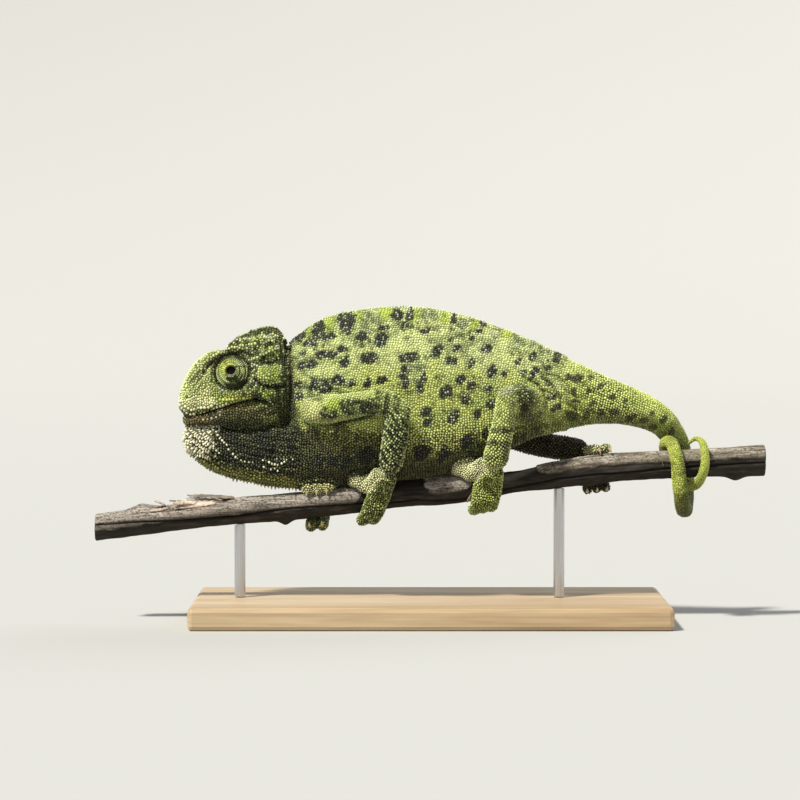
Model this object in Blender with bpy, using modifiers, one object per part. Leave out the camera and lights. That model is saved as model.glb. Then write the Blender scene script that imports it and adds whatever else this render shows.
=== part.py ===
"""Common chameleon (Chamaeleo chamaeleon), a life-size museum model on a perch and a display stand.

World frame: metres, +Z up. The head points along -X and the animal's left side faces -Y.
The origin is the centre of the stand's underside. The driving dimensions below are in
millimetres and are turned into metres when each mesh is built.
"""
import math

import bmesh
import bpy
from mathutils import Vector

MM = 0.001
CURVE_STEPS = 24      # fine steps between two points of a centre line
CAP_ANGLES = (20.0, 56.0)     # rings on a round end, in degrees from its pole
GAP = 0.35            # clearance left where one part is cut by its neighbour

# ---------------------------------------------------------------- stand and perch
BASE_LENGTH = 170.0
BASE_DEPTH = 84.0
BASE_HEIGHT = 8.0
BASE_EDGE = 1.6
ROD_RADIUS = 2.0
ROD_FRONT_X = -68.5
ROD_REAR_X = 46.5

BRANCH_ENDS = (-120.5, 120.5)
BRANCH_SIDES = 12
BRANCH_RINGS = 26
BRANCH_CENTRE = (     # (x, height of the centre line)
    (-121, 32.9), (-83, 37.8), (-47, 40.9), (-11, 44.6), (7, 46.3), (32, 49.9),
    (61, 54.2), (79, 55.3), (97, 56.2), (121, 57.2))
BRANCH_RADIUS = (     # (x, radius); thinner where the bark is missing
    (-121, 4.9), (-60, 4.9), (-30, 4.9), (-14, 4.4), (-4, 4.4), (3, 4.9), (14, 4.9), (24, 4.4),
    (34, 4.2), (44, 4.9), (62, 5.1), (98, 5.0), (121, 5.6))
KNOTS = (             # (x, angle from the top towards the left side, spread in x, height)
    (-104.0, 0.0, 4.0, 1.6), (-82.0, 10.0, 9.0, 2.4), (-52.0, 180.0, 2.2, 1.6),
    (110.0, 175.0, 3.0, 1.5), (58.0, 170.0, 4.0, 1.0))

# ---------------------------------------------------------------- trunk and tail
TRUNK_RINGS = 22
TRUNK_SIDES = 18
TRUNK = (             # (x, top, bottom, half width)
    (-51.6, 98.4, 96.2, 0.9), (-50.6, 100.2, 92.0, 2.8), (-49.4, 101.6, 82.0, 5.4),
    (-48.2, 102.6, 64.0, 7.4), (-46.6, 103.7, 50.0, 8.8), (-39.6, 108.2, 47.7, 10.8),
    (-28.8, 111.3, 48.5, 12.0), (-14.4, 112.9, 49.9, 12.4), (0.0, 112.3, 51.2, 12.4),
    (14.4, 109.2, 54.4, 11.6), (28.8, 104.0, 61.6, 10.2), (39.6, 99.6, 66.2, 8.8),
    (49.6, 94.8, 68.0, 7.4))
TRUNK_WAIST = 0.42    # height of the widest line, as a share of the depth
BACK_POWER = 1.45     # above 1 draws the back up to a keel
BELLY_POWER = 1.12

TAIL_SIDES = 9
TAIL_PATH = (         # (x, y, z) of the centre line, through the loose coil and the tight one
    (48.4, 0.0, 81.2), (61.5, 0.3, 79.2), (72.8, 1.6, 76.5), (82.5, 5.4, 72.2), (89.2, 11.2, 64.6),
    (92.6, 14.4, 54.4), (93.0, 12.0, 45.2), (92.0, 3.4, 39.6), (90.4, -5.4, 42.6),
    (89.1, -8.4, 50.4), (88.4, -7.9, 57.8), (86.8, -2.8, 63.7), (84.9, 3.0, 63.2),
    (86.4, 7.6, 57.6), (90.6, 6.4, 51.0), (94.6, -0.2, 48.2), (97.2, -6.2, 51.6), (98.4, -8.0, 57.6),
    (97.9, -5.6, 63.4), (95.8, -1.6, 65.4), (92.8, 1.2, 63.2))
TAIL_RADII = (        # (share of the length, half depth, half width)
    (0.0, 12.9, 7.1), (0.09, 8.4, 5.6), (0.17, 6.3, 4.8), (0.27, 4.7, 4.1), (0.40, 3.4, 3.2),
    (0.55, 2.85, 2.8), (0.68, 2.4, 2.4), (0.80, 2.1, 2.1), (0.92, 1.8, 1.8), (1.0, 0.9, 0.9))
TAIL_CUTS = (0.0, 0.085, 0.20, 0.34, 0.48, 0.62, 0.80, 1.0)
TAIL_STEPS = (4, 4, 5, 6, 6, 8, 10)     # steps along each length

# ---------------------------------------------------------------- head
HEAD_RINGS = 21
HEAD_HALF_POINTS = 10
HEAD = (    # x, mouth z, cheek z, brow z, crown z, and the half widths at mouth, cheek, brow, crown
    (-90.3, 76.6, 77.6, 78.4, 79.2, 1.1, 1.5, 1.2, 0.6),
    (-89.3, 75.3, 79.2, 81.6, 83.2, 2.7, 3.1, 2.6, 1.5),
    (-87.4, 73.5, 81.0, 85.6, 88.2, 4.4, 4.7, 4.2, 2.6),
    (-84.5, 74.0, 82.8, 89.9, 92.6, 5.9, 6.2, 5.8, 3.7),
    (-80.5, 75.3, 84.8, 93.2, 95.9, 7.0, 7.3, 7.2, 4.4),
    (-75.5, 76.7, 86.8, 95.9, 97.5, 7.9, 8.0, 8.3, 4.2),
    (-70.5, 78.4, 87.8, 97.2, 100.4, 8.5, 8.6, 8.6, 2.9),
    (-65.0, 80.0, 88.4, 97.9, 103.8, 8.8, 9.3, 8.0, 1.9),
    (-59.5, 80.4, 88.2, 98.6, 105.6, 8.7, 9.5, 6.8, 1.5),
    (-54.6, 79.6, 87.6, 97.6, 105.2, 7.6, 8.6, 5.4, 1.4),
    (-51.8, 80.4, 87.6, 95.6, 101.0, 6.0, 7.0, 4.3, 1.2),
    (-50.4, 83.5, 87.8, 92.0, 95.8, 3.2, 3.6, 2.6, 0.8))
EYE_CENTRE = (-70.3, 2.9, 89.1)     # back of each turret, mirrored across Y
EYE_FORWARD = 5.0                   # degrees the gaze leans forward
EYE_UP = 7.0                        # degrees the gaze leans up
TURRET_RADIUS = 6.0
TURRET_HEIGHT = 9.0
TURRET_BACK_WALL = 0.7
PUPIL_RADIUS = 1.3
SOCKET_RADIUS = 4.15
EYEBALL_RADIUS = 3.8

JAW = (     # (x, top, bottom, half width); the top follows the mouth line
    (-88.9, 74.3, 71.7, 1.3), (-87.6, 73.1, 69.6, 3.4), (-84.5, 73.6, 69.4, 5.5),
    (-80.5, 74.9, 69.3, 6.7), (-75.5, 76.3, 69.0, 7.6), (-70.5, 78.0, 68.6, 8.2),
    (-65.0, 79.6, 68.2, 8.6), (-59.5, 80.0, 68.4, 8.6), (-55.0, 79.0, 70.0, 7.6),
    (-53.2, 77.2, 72.6, 5.0))
THROAT = (  # (x, top, bottom, half width)
    (-88.1, 68.0, 64.4, 1.8), (-87.3, 69.4, 61.8, 3.6), (-84.6, 69.4, 59.2, 5.0),
    (-80.0, 69.3, 55.6, 6.1), (-73.0, 69.0, 51.8, 6.9), (-66.0, 68.6, 50.0, 7.5),
    (-59.0, 69.4, 48.5, 8.0), (-53.0, 71.6, 47.8, 8.5), (-48.0, 73.0, 47.4, 8.8),
    (-43.6, 72.4, 47.4, 8.6))
NECK = (    # (x, top, bottom, half width)
    (-58.0, 98.0, 74.0, 6.6), (-54.0, 98.6, 70.6, 7.4), (-49.0, 99.0, 70.2, 8.0),
    (-45.0, 98.0, 70.2, 7.6))
LOFT_SIDES = 14

# ---------------------------------------------------------------- limbs
# (centre line as (x, y, z) points), (radii at equal steps along it)
ARM_LEFT = (((-45.4, -8.5, 75.0), (-30.0, -15.2, 77.4), (-12.4, -19.0, 80.0)), (5.2, 4.6, 4.4))
FOREARM_LEFT = (((-11.4, -19.4, 80.6), (-12.4, -17.2, 67.4), (-14.6, -12.8, 53.8)),
                (4.2, 4.5, 4.2))
ARM_RIGHT = (((-44.0, 8.5, 72.0), (-32.0, 16.5, 70.6), (-18.5, 21.5, 67.6)), (5.2, 4.6, 4.3))
FOREARM_RIGHT = (((-17.0, 21.8, 67.4), (-27.0, 17.6, 60.0), (-37.4, 12.6, 52.6)),
                 (4.1, 4.4, 3.9))
THIGH_LEFT = (((37.5, -4.5, 75.0), (33.0, -11.4, 79.0), (28.4, -17.2, 82.6)), (7.4, 5.8, 4.4))
SHANK_LEFT = (((27.8, -17.6, 84.2), (25.8, -15.4, 70.6), (22.4, -12.4, 55.0)), (3.6, 4.0, 4.7))
THIGH_RIGHT = (((40.5, 6.0, 73.5), (33.0, 12.0, 69.5), (28.0, 17.0, 65.8)), (7.0, 5.2, 4.1))
SHANK_RIGHT = (((27.0, 17.4, 65.2), (42.0, 14.4, 62.2), (57.4, 10.8, 60.2)), (3.7, 4.5, 4.1))
LIMB_SIDES = 8
LIMB_RINGS = 3

# A digit bundle: wrist, digits as (x, angle) at the palm and at the tips, count, pitch, radius.
# The angle is about the perch: 0 is its top, 90 its left side, 180 its underside.
BUNDLES = {
    "left_hand_outer": dict(wrist=(-15.6, -12.0, 52.6), start=(-18.4, 80), end=(-23.2, 178),
                            count=2, pitch=4.0, radius=2.55, limb="left_forearm"),
    "left_hand_inner": dict(wrist=(-17.0, -11.4, 53.4), start=(-20.2, 52), end=(-26.2, 16), slack=1.2,
                            count=3, pitch=3.2, radius=2.2, limb="left_forearm"),
    "right_hand_outer": dict(wrist=(-38.8, 13.0, 48.6), start=(-40.2, -104), end=(-41.0, -196),
                             count=2, pitch=4.4, radius=2.35, limb="right_forearm"),
    "right_hand_inner": dict(wrist=(-38.6, 11.4, 51.4), start=(-39.8, -42), end=(-40.6, 40),
                             count=3, pitch=3.5, radius=2.0, limb="right_forearm"),
    "left_foot_outer": dict(wrist=(22.2, -12.4, 54.2), start=(20.8, 80), end=(18.4, 184), slack=1.9,
                            count=3, pitch=3.3, radius=2.3, limb="left_shank"),
    "left_foot_inner": dict(wrist=(20.0, -11.0, 56.0), start=(16.6, 46), end=(9.0, 4), slack=0.8,
                            count=2, pitch=4.1, radius=2.8, limb="left_shank"),
    "right_foot_outer": dict(wrist=(58.2, 11.4, 58.6), start=(60.0, -104), end=(60.2, -178),
                             count=3, pitch=3.5, radius=1.9, limb="right_shank"),
    "right_foot_inner": dict(wrist=(58.6, 9.4, 60.9), start=(60.5, -46), end=(62.6, 12),
                             count=2, pitch=3.7, radius=1.9, limb="right_shank"),
}
BELLY_YIELDS_TO = ("left_hand_inner", "left_foot_inner", "right_hand_inner")
DIGIT_SIDES = 6
DIGIT_RINGS = 3
DIGIT_CLEARANCE = 0.35
CLAW_RADIUS = 0.62
CLAW_SIDES = 5
CLAW_TAPER = (1.0, 0.8, 0.3)
CLAW_PATH = ((0.35, 0.1), (1.3, 0.55), (1.95, 1.5))    # (forward, towards the perch) from the tip

SKIN_GREEN = (0.36, 0.42, 0.12)
HEAD_GREEN = (0.33, 0.40, 0.13)
THROAT_OLIVE = (0.10, 0.10, 0.05)
CLAW_HORN = (0.30, 0.25, 0.17)
WOOD_GREY = (0.17, 0.15, 0.12)
STAND_WOOD = (0.62, 0.48, 0.31)
ROD_METAL = (0.55, 0.55, 0.56)
EYE_DARK = (0.01, 0.01, 0.012)


# ---------------------------------------------------------------- small maths
def smooth(table, x, column=1):
    """Value of one column of a table at x, on a cubic through the rows."""
    rows = table
    if x <= rows[0][0]:
        return rows[0][column]
    if x >= rows[-1][0]:
        return rows[-1][column]
    k = 0
    while rows[k + 1][0] < x:
        k += 1

    def slope(i):
        a = max(i - 1, 0)
        b = min(i + 1, len(rows) - 1)
        return (rows[b][column] - rows[a][column]) / (rows[b][0] - rows[a][0])

    span = rows[k + 1][0] - rows[k][0]
    t = (x - rows[k][0]) / span
    p0 = rows[k][column]
    p1 = rows[k + 1][column]
    return ((2 * t**3 - 3 * t**2 + 1) * p0 + (t**3 - 2 * t**2 + t) * span * slope(k)
            + (3 * t**2 - 2 * t**3) * p1 + (t**3 - t**2) * span * slope(k + 1))


def curve_through(points):
    """Catmull-Rom curve through the points, as fine points with their running lengths."""
    pts = [Vector(p) for p in points]
    ends = [pts[0] * 2 - pts[1]] + pts + [pts[-1] * 2 - pts[-2]]
    fine = []
    for i in range(1, len(ends) - 2):
        a, b, c, d = ends[i - 1], ends[i], ends[i + 1], ends[i + 2]
        for s in range(CURVE_STEPS):
            t = s / CURVE_STEPS
            fine.append(0.5 * ((2 * b) + (c - a) * t + (2 * a - 5 * b + 4 * c - d) * t * t
                               + (3 * b - a - 3 * c + d) * t**3))
    fine.append(pts[-1])
    lengths = [0.0]
    for p, q in zip(fine, fine[1:]):
        lengths.append(lengths[-1] + (q - p).length)
    return fine, lengths


def point_on(curve, run):
    """Point at a length along a curve."""
    fine, lengths = curve
    k = 0
    while k < len(fine) - 2 and lengths[k + 1] < run:
        k += 1
    return fine[k].lerp(fine[k + 1], (run - lengths[k]) / (lengths[k + 1] - lengths[k]))


def even_points(points, steps):
    curve = curve_through(points)
    return [point_on(curve, curve[1][-1] * s / steps) for s in range(steps + 1)]


def rounded_stations(length, start_radius, end_radius, middle):
    """Lengths along a limb with the share of full thickness there, for hemispherical ends."""
    caps = [math.radians(a) for a in CAP_ANGLES]
    marks = []
    if start_radius:
        marks += [(start_radius * (1 - math.cos(a)), math.sin(a)) for a in caps]
    else:
        marks.append((0.0, 1.0))
    first = start_radius
    last = length - end_radius
    marks += [(first + (last - first) * k / (middle + 1), 1.0) for k in range(1, middle + 1)]
    if end_radius:
        marks += [(length - end_radius * (1 - math.cos(a)), math.sin(a)) for a in reversed(caps)]
    else:
        marks.append((length, 1.0))
    return marks


def branch_height(x):
    return smooth(BRANCH_CENTRE, x)


def branch_radius(x):
    return smooth(BRANCH_RADIUS, x)


def around_branch(x, angle, distance):
    """Point at a distance from the perch's centre line, the angle counted from its top."""
    a = math.radians(angle)
    return Vector((x, -distance * math.sin(a), branch_height(x) + distance * math.cos(a)))


# ---------------------------------------------------------------- building and cutting
def start_scene():
    for obj in list(bpy.data.objects):
        bpy.data.objects.remove(obj, do_unlink=True)
    parts = bpy.data.collections.new("chameleon")
    cutters = bpy.data.collections.new("cutters")
    for collection in (parts, cutters):
        bpy.context.scene.collection.children.link(collection)
    return parts, cutters


def material(name, colour, roughness, metallic=0.0):
    mat = bpy.data.materials.new(name)
    mat.use_nodes = True
    shader = mat.node_tree.nodes["Principled BSDF"]
    shader.inputs["Base Color"].default_value = (*colour, 1.0)
    shader.inputs["Roughness"].default_value = roughness
    shader.inputs["Metallic"].default_value = metallic
    return mat


def add_part(name, bm, mat, collection):
    bmesh.ops.recalc_face_normals(bm, faces=bm.faces)
    mesh = bpy.data.meshes.new(name)
    bm.to_mesh(mesh)
    bm.free()
    mesh.shade_smooth()
    mesh.set_sharp_from_angle(angle=math.radians(50))
    mesh.materials.append(mat)
    obj = bpy.data.objects.new(name, mesh)
    collection.objects.link(obj)
    return obj


def loft(rings):
    """Closed mesh through rings of equal count, its ends closed on the middle of the end rings."""
    bm = bmesh.new()
    loops = [[bm.verts.new(p * MM) for p in ring] for ring in rings]
    count = len(loops[0])
    for a, b in zip(loops, loops[1:]):
        for i in range(count):
            j = (i + 1) % count
            bm.faces.new((a[i], a[j], b[j], b[i]))
    for loop in (loops[0], loops[-1]):
        middle = sum((v.co for v in loop), Vector()) / count
        tip = bm.verts.new(middle)
        for i in range(count):
            bm.faces.new((loop[i], loop[(i + 1) % count], tip))
    return bm


def sweep(centres, half_depths, half_widths, sides):
    """Elliptical rings square to a run of centres, each turned as little as possible."""
    rings = []
    side = None
    for k, centre in enumerate(centres):
        ahead = centres[min(k + 1, len(centres) - 1)]
        behind = centres[max(k - 1, 0)]
        along = (ahead - behind).normalized()
        if side is None:
            side = Vector((0, 1, 0)) if abs(along.y) < 0.8 else Vector((1, 0, 0))
        side = (side - along * side.dot(along)).normalized()
        up = along.cross(side)
        ring = []
        for i in range(sides):
            a = 2 * math.pi * i / sides
            ring.append(centre + side * (half_widths[k] * math.cos(a))
                        + up * (half_depths[k] * math.sin(a)))
        rings.append(ring)
    return rings


def round_tube(points, radii, sides, middle, round_start=True):
    """Tube with hemispherical ends along a curve, its radius taken from equal steps."""
    curve = curve_through(points)
    length = curve[1][-1]
    table = [(length * i / (len(radii) - 1), r) for i, r in enumerate(radii)]
    marks = rounded_stations(length, radii[0] if round_start else 0.0, radii[-1], middle)
    sizes = [smooth(table, run) * share for run, share in marks]
    return loft(sweep([point_on(curve, run) for run, share in marks], sizes, sizes, sides))


def stations(first, last, count):
    """Places from first to last, closer together towards both ends."""
    places = []
    for k in range(count):
        t = k / (count - 1)
        eased = 0.45 * t + 0.55 * (1 - math.cos(math.pi * t)) / 2
        places.append(first + (last - first) * eased)
    return places


def upright_ring(x, top, bottom, half_width, waist, upper, lower, sides):
    """Closed ring in the plane at x: an ellipse with its own power above and below the waist."""
    middle = bottom + (top - bottom) * waist
    ring = []
    for i in range(sides):
        a = 2 * math.pi * (i + 0.5) / sides
        c = math.cos(a)
        s = math.sin(a)
        power = upper if s > 0 else lower
        y = half_width * math.copysign(abs(c)**power, c)
        z = middle + s * ((top - middle) if s > 0 else (middle - bottom))
        ring.append(Vector((x, y, z)))
    return ring


def upright_loft(table, rings, sides, waist=0.5, upper=1.0, lower=1.0):
    places = stations(table[0][0], table[-1][0], rings)
    return loft([upright_ring(x, smooth(table, x, 1), smooth(table, x, 2), smooth(table, x, 3),
                              waist, upper, lower, sides) for x in places])


def grown_copy(obj, cutters):
    """Cutter: the part's own mesh with every vertex moved out by the clearance."""
    mesh = obj.data.copy()
    normals = [v.normal.copy() for v in mesh.vertices]
    for vert, normal in zip(mesh.vertices, normals):
        vert.co += normal * GAP * MM
    cutter = bpy.data.objects.new(obj.name + "_grown", mesh)
    cutters.objects.link(cutter)
    cutter.hide_render = True
    cutter.display_type = "WIRE"
    return cutter


def cut(obj, cutter, bent=False):
    """Takes the cutter out of the part; bent cutters may cross themselves a little."""
    boolean = obj.modifiers.new("cut_by_" + cutter.name, "BOOLEAN")
    boolean.operation = "DIFFERENCE"
    boolean.solver = "EXACT"
    boolean.use_self = bent
    boolean.object = cutter


def join(obj, extra):
    """Union of a piece with another that is kept only as a guide."""
    extra.hide_render = True
    extra.display_type = "WIRE"
    boolean = obj.modifiers.new("join_" + extra.name, "BOOLEAN")
    boolean.operation = "UNION"
    boolean.solver = "EXACT"
    boolean.object = extra


# ---------------------------------------------------------------- sub-parts
def make_stand(parts, wood, metal):
    bm = bmesh.new()
    bmesh.ops.create_cube(bm, size=1.0)
    bmesh.ops.scale(bm, vec=Vector((BASE_LENGTH, BASE_DEPTH, BASE_HEIGHT)) * MM, verts=bm.verts)
    bmesh.ops.translate(bm, vec=Vector((0, 0, BASE_HEIGHT / 2 * MM)), verts=bm.verts)
    base = add_part("stand_base", bm, wood, parts)
    bevel = base.modifiers.new("eased_edges", "BEVEL")
    bevel.width = BASE_EDGE * MM
    bevel.segments = 2
    rods = []
    for name, x in (("stand_rod_front", ROD_FRONT_X), ("stand_rod_rear", ROD_REAR_X)):
        low = BASE_HEIGHT + GAP
        high = branch_height(x)
        bm = bmesh.new()
        bmesh.ops.create_cone(bm, cap_ends=True, segments=14, radius1=ROD_RADIUS * MM,
                              radius2=ROD_RADIUS * MM, depth=(high - low) * MM)
        bmesh.ops.translate(bm, vec=Vector((x, 0, (high + low) / 2)) * MM, verts=bm.verts)
        rods.append(add_part(name, bm, metal, parts))
    return rods


def make_branch(parts, mat):
    rings = []
    first, last = BRANCH_ENDS
    for k in range(BRANCH_RINGS):
        x = first + (last - first) * k / (BRANCH_RINGS - 1)
        ring = []
        for i in range(BRANCH_SIDES):
            angle = 360 * i / BRANCH_SIDES
            radius = branch_radius(x)
            for knot_x, knot_angle, spread_x, height in KNOTS:
                turn = (angle - knot_angle + 180) % 360 - 180
                radius += height * math.exp(-((x - knot_x) / spread_x)**2 - (turn / 38)**2)
            ring.append(around_branch(x, angle, radius))
        rings.append(ring)
    return add_part("perch_branch", loft(rings), mat, parts)


def make_trunk(parts, mat):
    bm = upright_loft(TRUNK, TRUNK_RINGS, TRUNK_SIDES, TRUNK_WAIST, BACK_POWER, BELLY_POWER)
    return add_part("trunk", bm, mat, parts)


def head_ring(x):
    mouth, cheek, brow, crown = (smooth(HEAD, x, c) for c in (1, 2, 3, 4))
    w_mouth, w_cheek, w_brow, w_crown = (smooth(HEAD, x, c) for c in (5, 6, 7, 8))
    half = [Vector((0, 0, mouth)), Vector((0, 0.72 * w_mouth, mouth)),
            Vector((0, w_mouth, mouth + 0.12 * (cheek - mouth))),
            Vector((0, w_cheek, cheek)), Vector((0, w_brow, brow)),
            Vector((0, w_crown, brow + 0.86 * (crown - brow))), Vector((0, 0, crown))]
    side = even_points(half, HEAD_HALF_POINTS - 1)
    left = [Vector((x, -p.y, p.z)) for p in side]
    right = [Vector((x, p.y, p.z)) for p in reversed(side[1:-1])]
    return left + right


def make_head(parts, mat):
    places = stations(HEAD[0][0], HEAD[-1][0], HEAD_RINGS)
    return add_part("head", loft([head_ring(x) for x in places]), mat, parts)


def turned(profile, steps=12):
    """Solid of revolution about +Z from (radius, height) points; open ends meet the axis."""
    bm = bmesh.new()
    verts = [bm.verts.new(Vector((r, 0, h)) * MM) for r, h in profile]
    edges = [bm.edges.new(pair) for pair in zip(verts, verts[1:])]
    bmesh.ops.spin(bm, geom=verts + edges, axis=(0, 0, 1), cent=(0, 0, 0), steps=steps,
                   angle=2 * math.pi, use_merge=True)
    bmesh.ops.remove_doubles(bm, verts=bm.verts, dist=1e-6)
    return bm


def turret_outline():
    """Outer side of the lid: flat back, round flank, then a low cone up to the pupil."""
    points = [(0.0, 0.0), (4.6, 0.0)]
    for k in range(1, 6):
        a = math.radians(-38 + 98 * k / 5)
        points.append((TURRET_RADIUS * math.cos(a), 3.4 + 4.6 * math.sin(a)))
    points.append((PUPIL_RADIUS + 0.6, TURRET_HEIGHT - 0.1))
    return points


def lid_profile():
    centre = TURRET_BACK_WALL + SOCKET_RADIUS
    rim = math.degrees(math.acos(PUPIL_RADIUS / SOCKET_RADIUS))
    inner = []
    for k in range(5):
        a = math.radians(rim - (rim + 90) * k / 4)
        inner.append((SOCKET_RADIUS * math.cos(a) if k < 4 else 0.0,
                      centre + SOCKET_RADIUS * math.sin(a)))
    return turret_outline() + [(PUPIL_RADIUS, TURRET_HEIGHT)] + inner


def place_eye(obj, side):
    """Sets a turned piece on the head: +Z becomes the gaze, out to the side, forward and up."""
    gaze = Vector((-math.tan(math.radians(EYE_FORWARD)), side, math.tan(math.radians(EYE_UP))))
    obj.rotation_mode = "QUATERNION"
    obj.rotation_quaternion = gaze.to_track_quat("Z", "X")
    x, y, z = EYE_CENTRE
    obj.location = Vector((x, side * y, z)) * MM


def make_eyes(parts, cutters, head, skin, dark):
    for label, side in (("left", -1), ("right", 1)):
        lid = add_part("eyelid_" + label, turned(lid_profile()), skin, parts)
        place_eye(lid, side)
        bm = bmesh.new()
        bmesh.ops.create_uvsphere(bm, u_segments=10, v_segments=7, radius=EYEBALL_RADIUS * MM)
        bmesh.ops.translate(bm, vec=Vector((0, 0, TURRET_BACK_WALL + SOCKET_RADIUS)) * MM,
                            verts=bm.verts)
        place_eye(add_part("eyeball_" + label, bm, dark, parts), side)
        outline = turret_outline() + [(0.0, TURRET_HEIGHT + 2.0)]
        wide = [(r + GAP if r > 0 else 0.0, h - GAP if h == 0 else h) for r, h in outline]
        socket = add_part("socket_" + label, turned(wide), skin, cutters)
        socket.hide_render = True
        socket.display_type = "WIRE"
        place_eye(socket, side)
        cut(head, socket)


def make_limb(name, spec, parts, mat):
    points, radii = spec
    return add_part(name, round_tube(points, radii, LIMB_SIDES, LIMB_RINGS), mat, parts)


def digit_points(bundle, offset):
    """Route of one digit: the wrist, then around the perch to the tip."""
    x0, a0 = bundle["start"]
    x1, a1 = bundle["end"]
    points = [Vector(bundle["wrist"]) + Vector((offset * 0.35, 0, 0))]
    for share in (0.0, 0.35, 0.7, 1.0):
        x = x0 + (x1 - x0) * share + offset * (0.8 + 0.2 * share)
        loose = bundle.get("slack", 0.0) * math.sin(math.pi * min(share + 0.15, 1.0))
        distance = branch_radius(x) + bundle["radius"] + DIGIT_CLEARANCE + loose
        points.append(around_branch(x, a0 + (a1 - a0) * share, distance))
    return points


def make_bundle(name, bundle, parts, cutters, skin, horn, first_claw):
    """One mitten of fused digits that grips the perch, and a claw for each digit."""
    radius = bundle["radius"]
    digits = []
    claws = []
    for k in range(bundle["count"]):
        offset = (k - (bundle["count"] - 1) / 2) * bundle["pitch"]
        points = digit_points(bundle, offset)
        radii = (radius * 1.25, radius * 1.12, radius, radius * 0.86)
        bm = round_tube(points, radii, DIGIT_SIDES, DIGIT_RINGS, round_start=False)
        if k == 0:
            digits.append(add_part(name, bm, skin, parts))
        else:
            digits.append(add_part("%s_digit_%d" % (name, k + 1), bm, skin, cutters))
            join(digits[0], digits[k])
        claw_name = "%s_claw_%d" % (name.rsplit("_", 1)[0], first_claw + k)
        claws.append(make_claw(claw_name, points, parts, horn))
    return digits, claws


def make_claw(name, digit, parts, horn):
    """Small hooked cone just past the end of a digit, bent towards the perch."""
    end = even_points(digit, CURVE_STEPS)
    tip = end[-1]
    along = (end[-1] - end[-2]).normalized()
    towards = Vector((0, -tip.y, branch_height(tip.x) - tip.z))
    towards = (towards - along * towards.dot(along)).normalized()
    centres = even_points([tip + along * f + towards * d for f, d in CLAW_PATH], 2)
    sizes = [CLAW_RADIUS * share for share in CLAW_TAPER]
    return add_part(name, loft(sweep(centres, sizes, sizes, CLAW_SIDES)), horn, parts)


def make_tail(parts, mat, trunk_grown):
    """The tail in lengths, cut square across its centre line with a gap between them."""
    curve = curve_through(TAIL_PATH)
    length = curve[1][-1]
    for k, (first, last) in enumerate(zip(TAIL_CUTS, TAIL_CUTS[1:])):
        start = first + (GAP / 2 / length if k else 0.0)
        end = last - (GAP / 2 / length if last < 1.0 else 0.0)
        before = 1 if k else 0
        after = 1 if last < 1.0 else 0
        shares = [start + (end - start) * i / TAIL_STEPS[k]
                  for i in range(-before, TAIL_STEPS[k] + 1 + after)]
        depths = [smooth(TAIL_RADII, s, 1) for s in shares]
        widths = [smooth(TAIL_RADII, s, 2) for s in shares]
        rings = sweep([point_on(curve, s * length) for s in shares], depths, widths, TAIL_SIDES)
        tail = add_part("tail_%d" % (k + 1), loft(rings[before:len(rings) - after]), mat, parts)
        if k == 0:
            cut(tail, trunk_grown)


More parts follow.
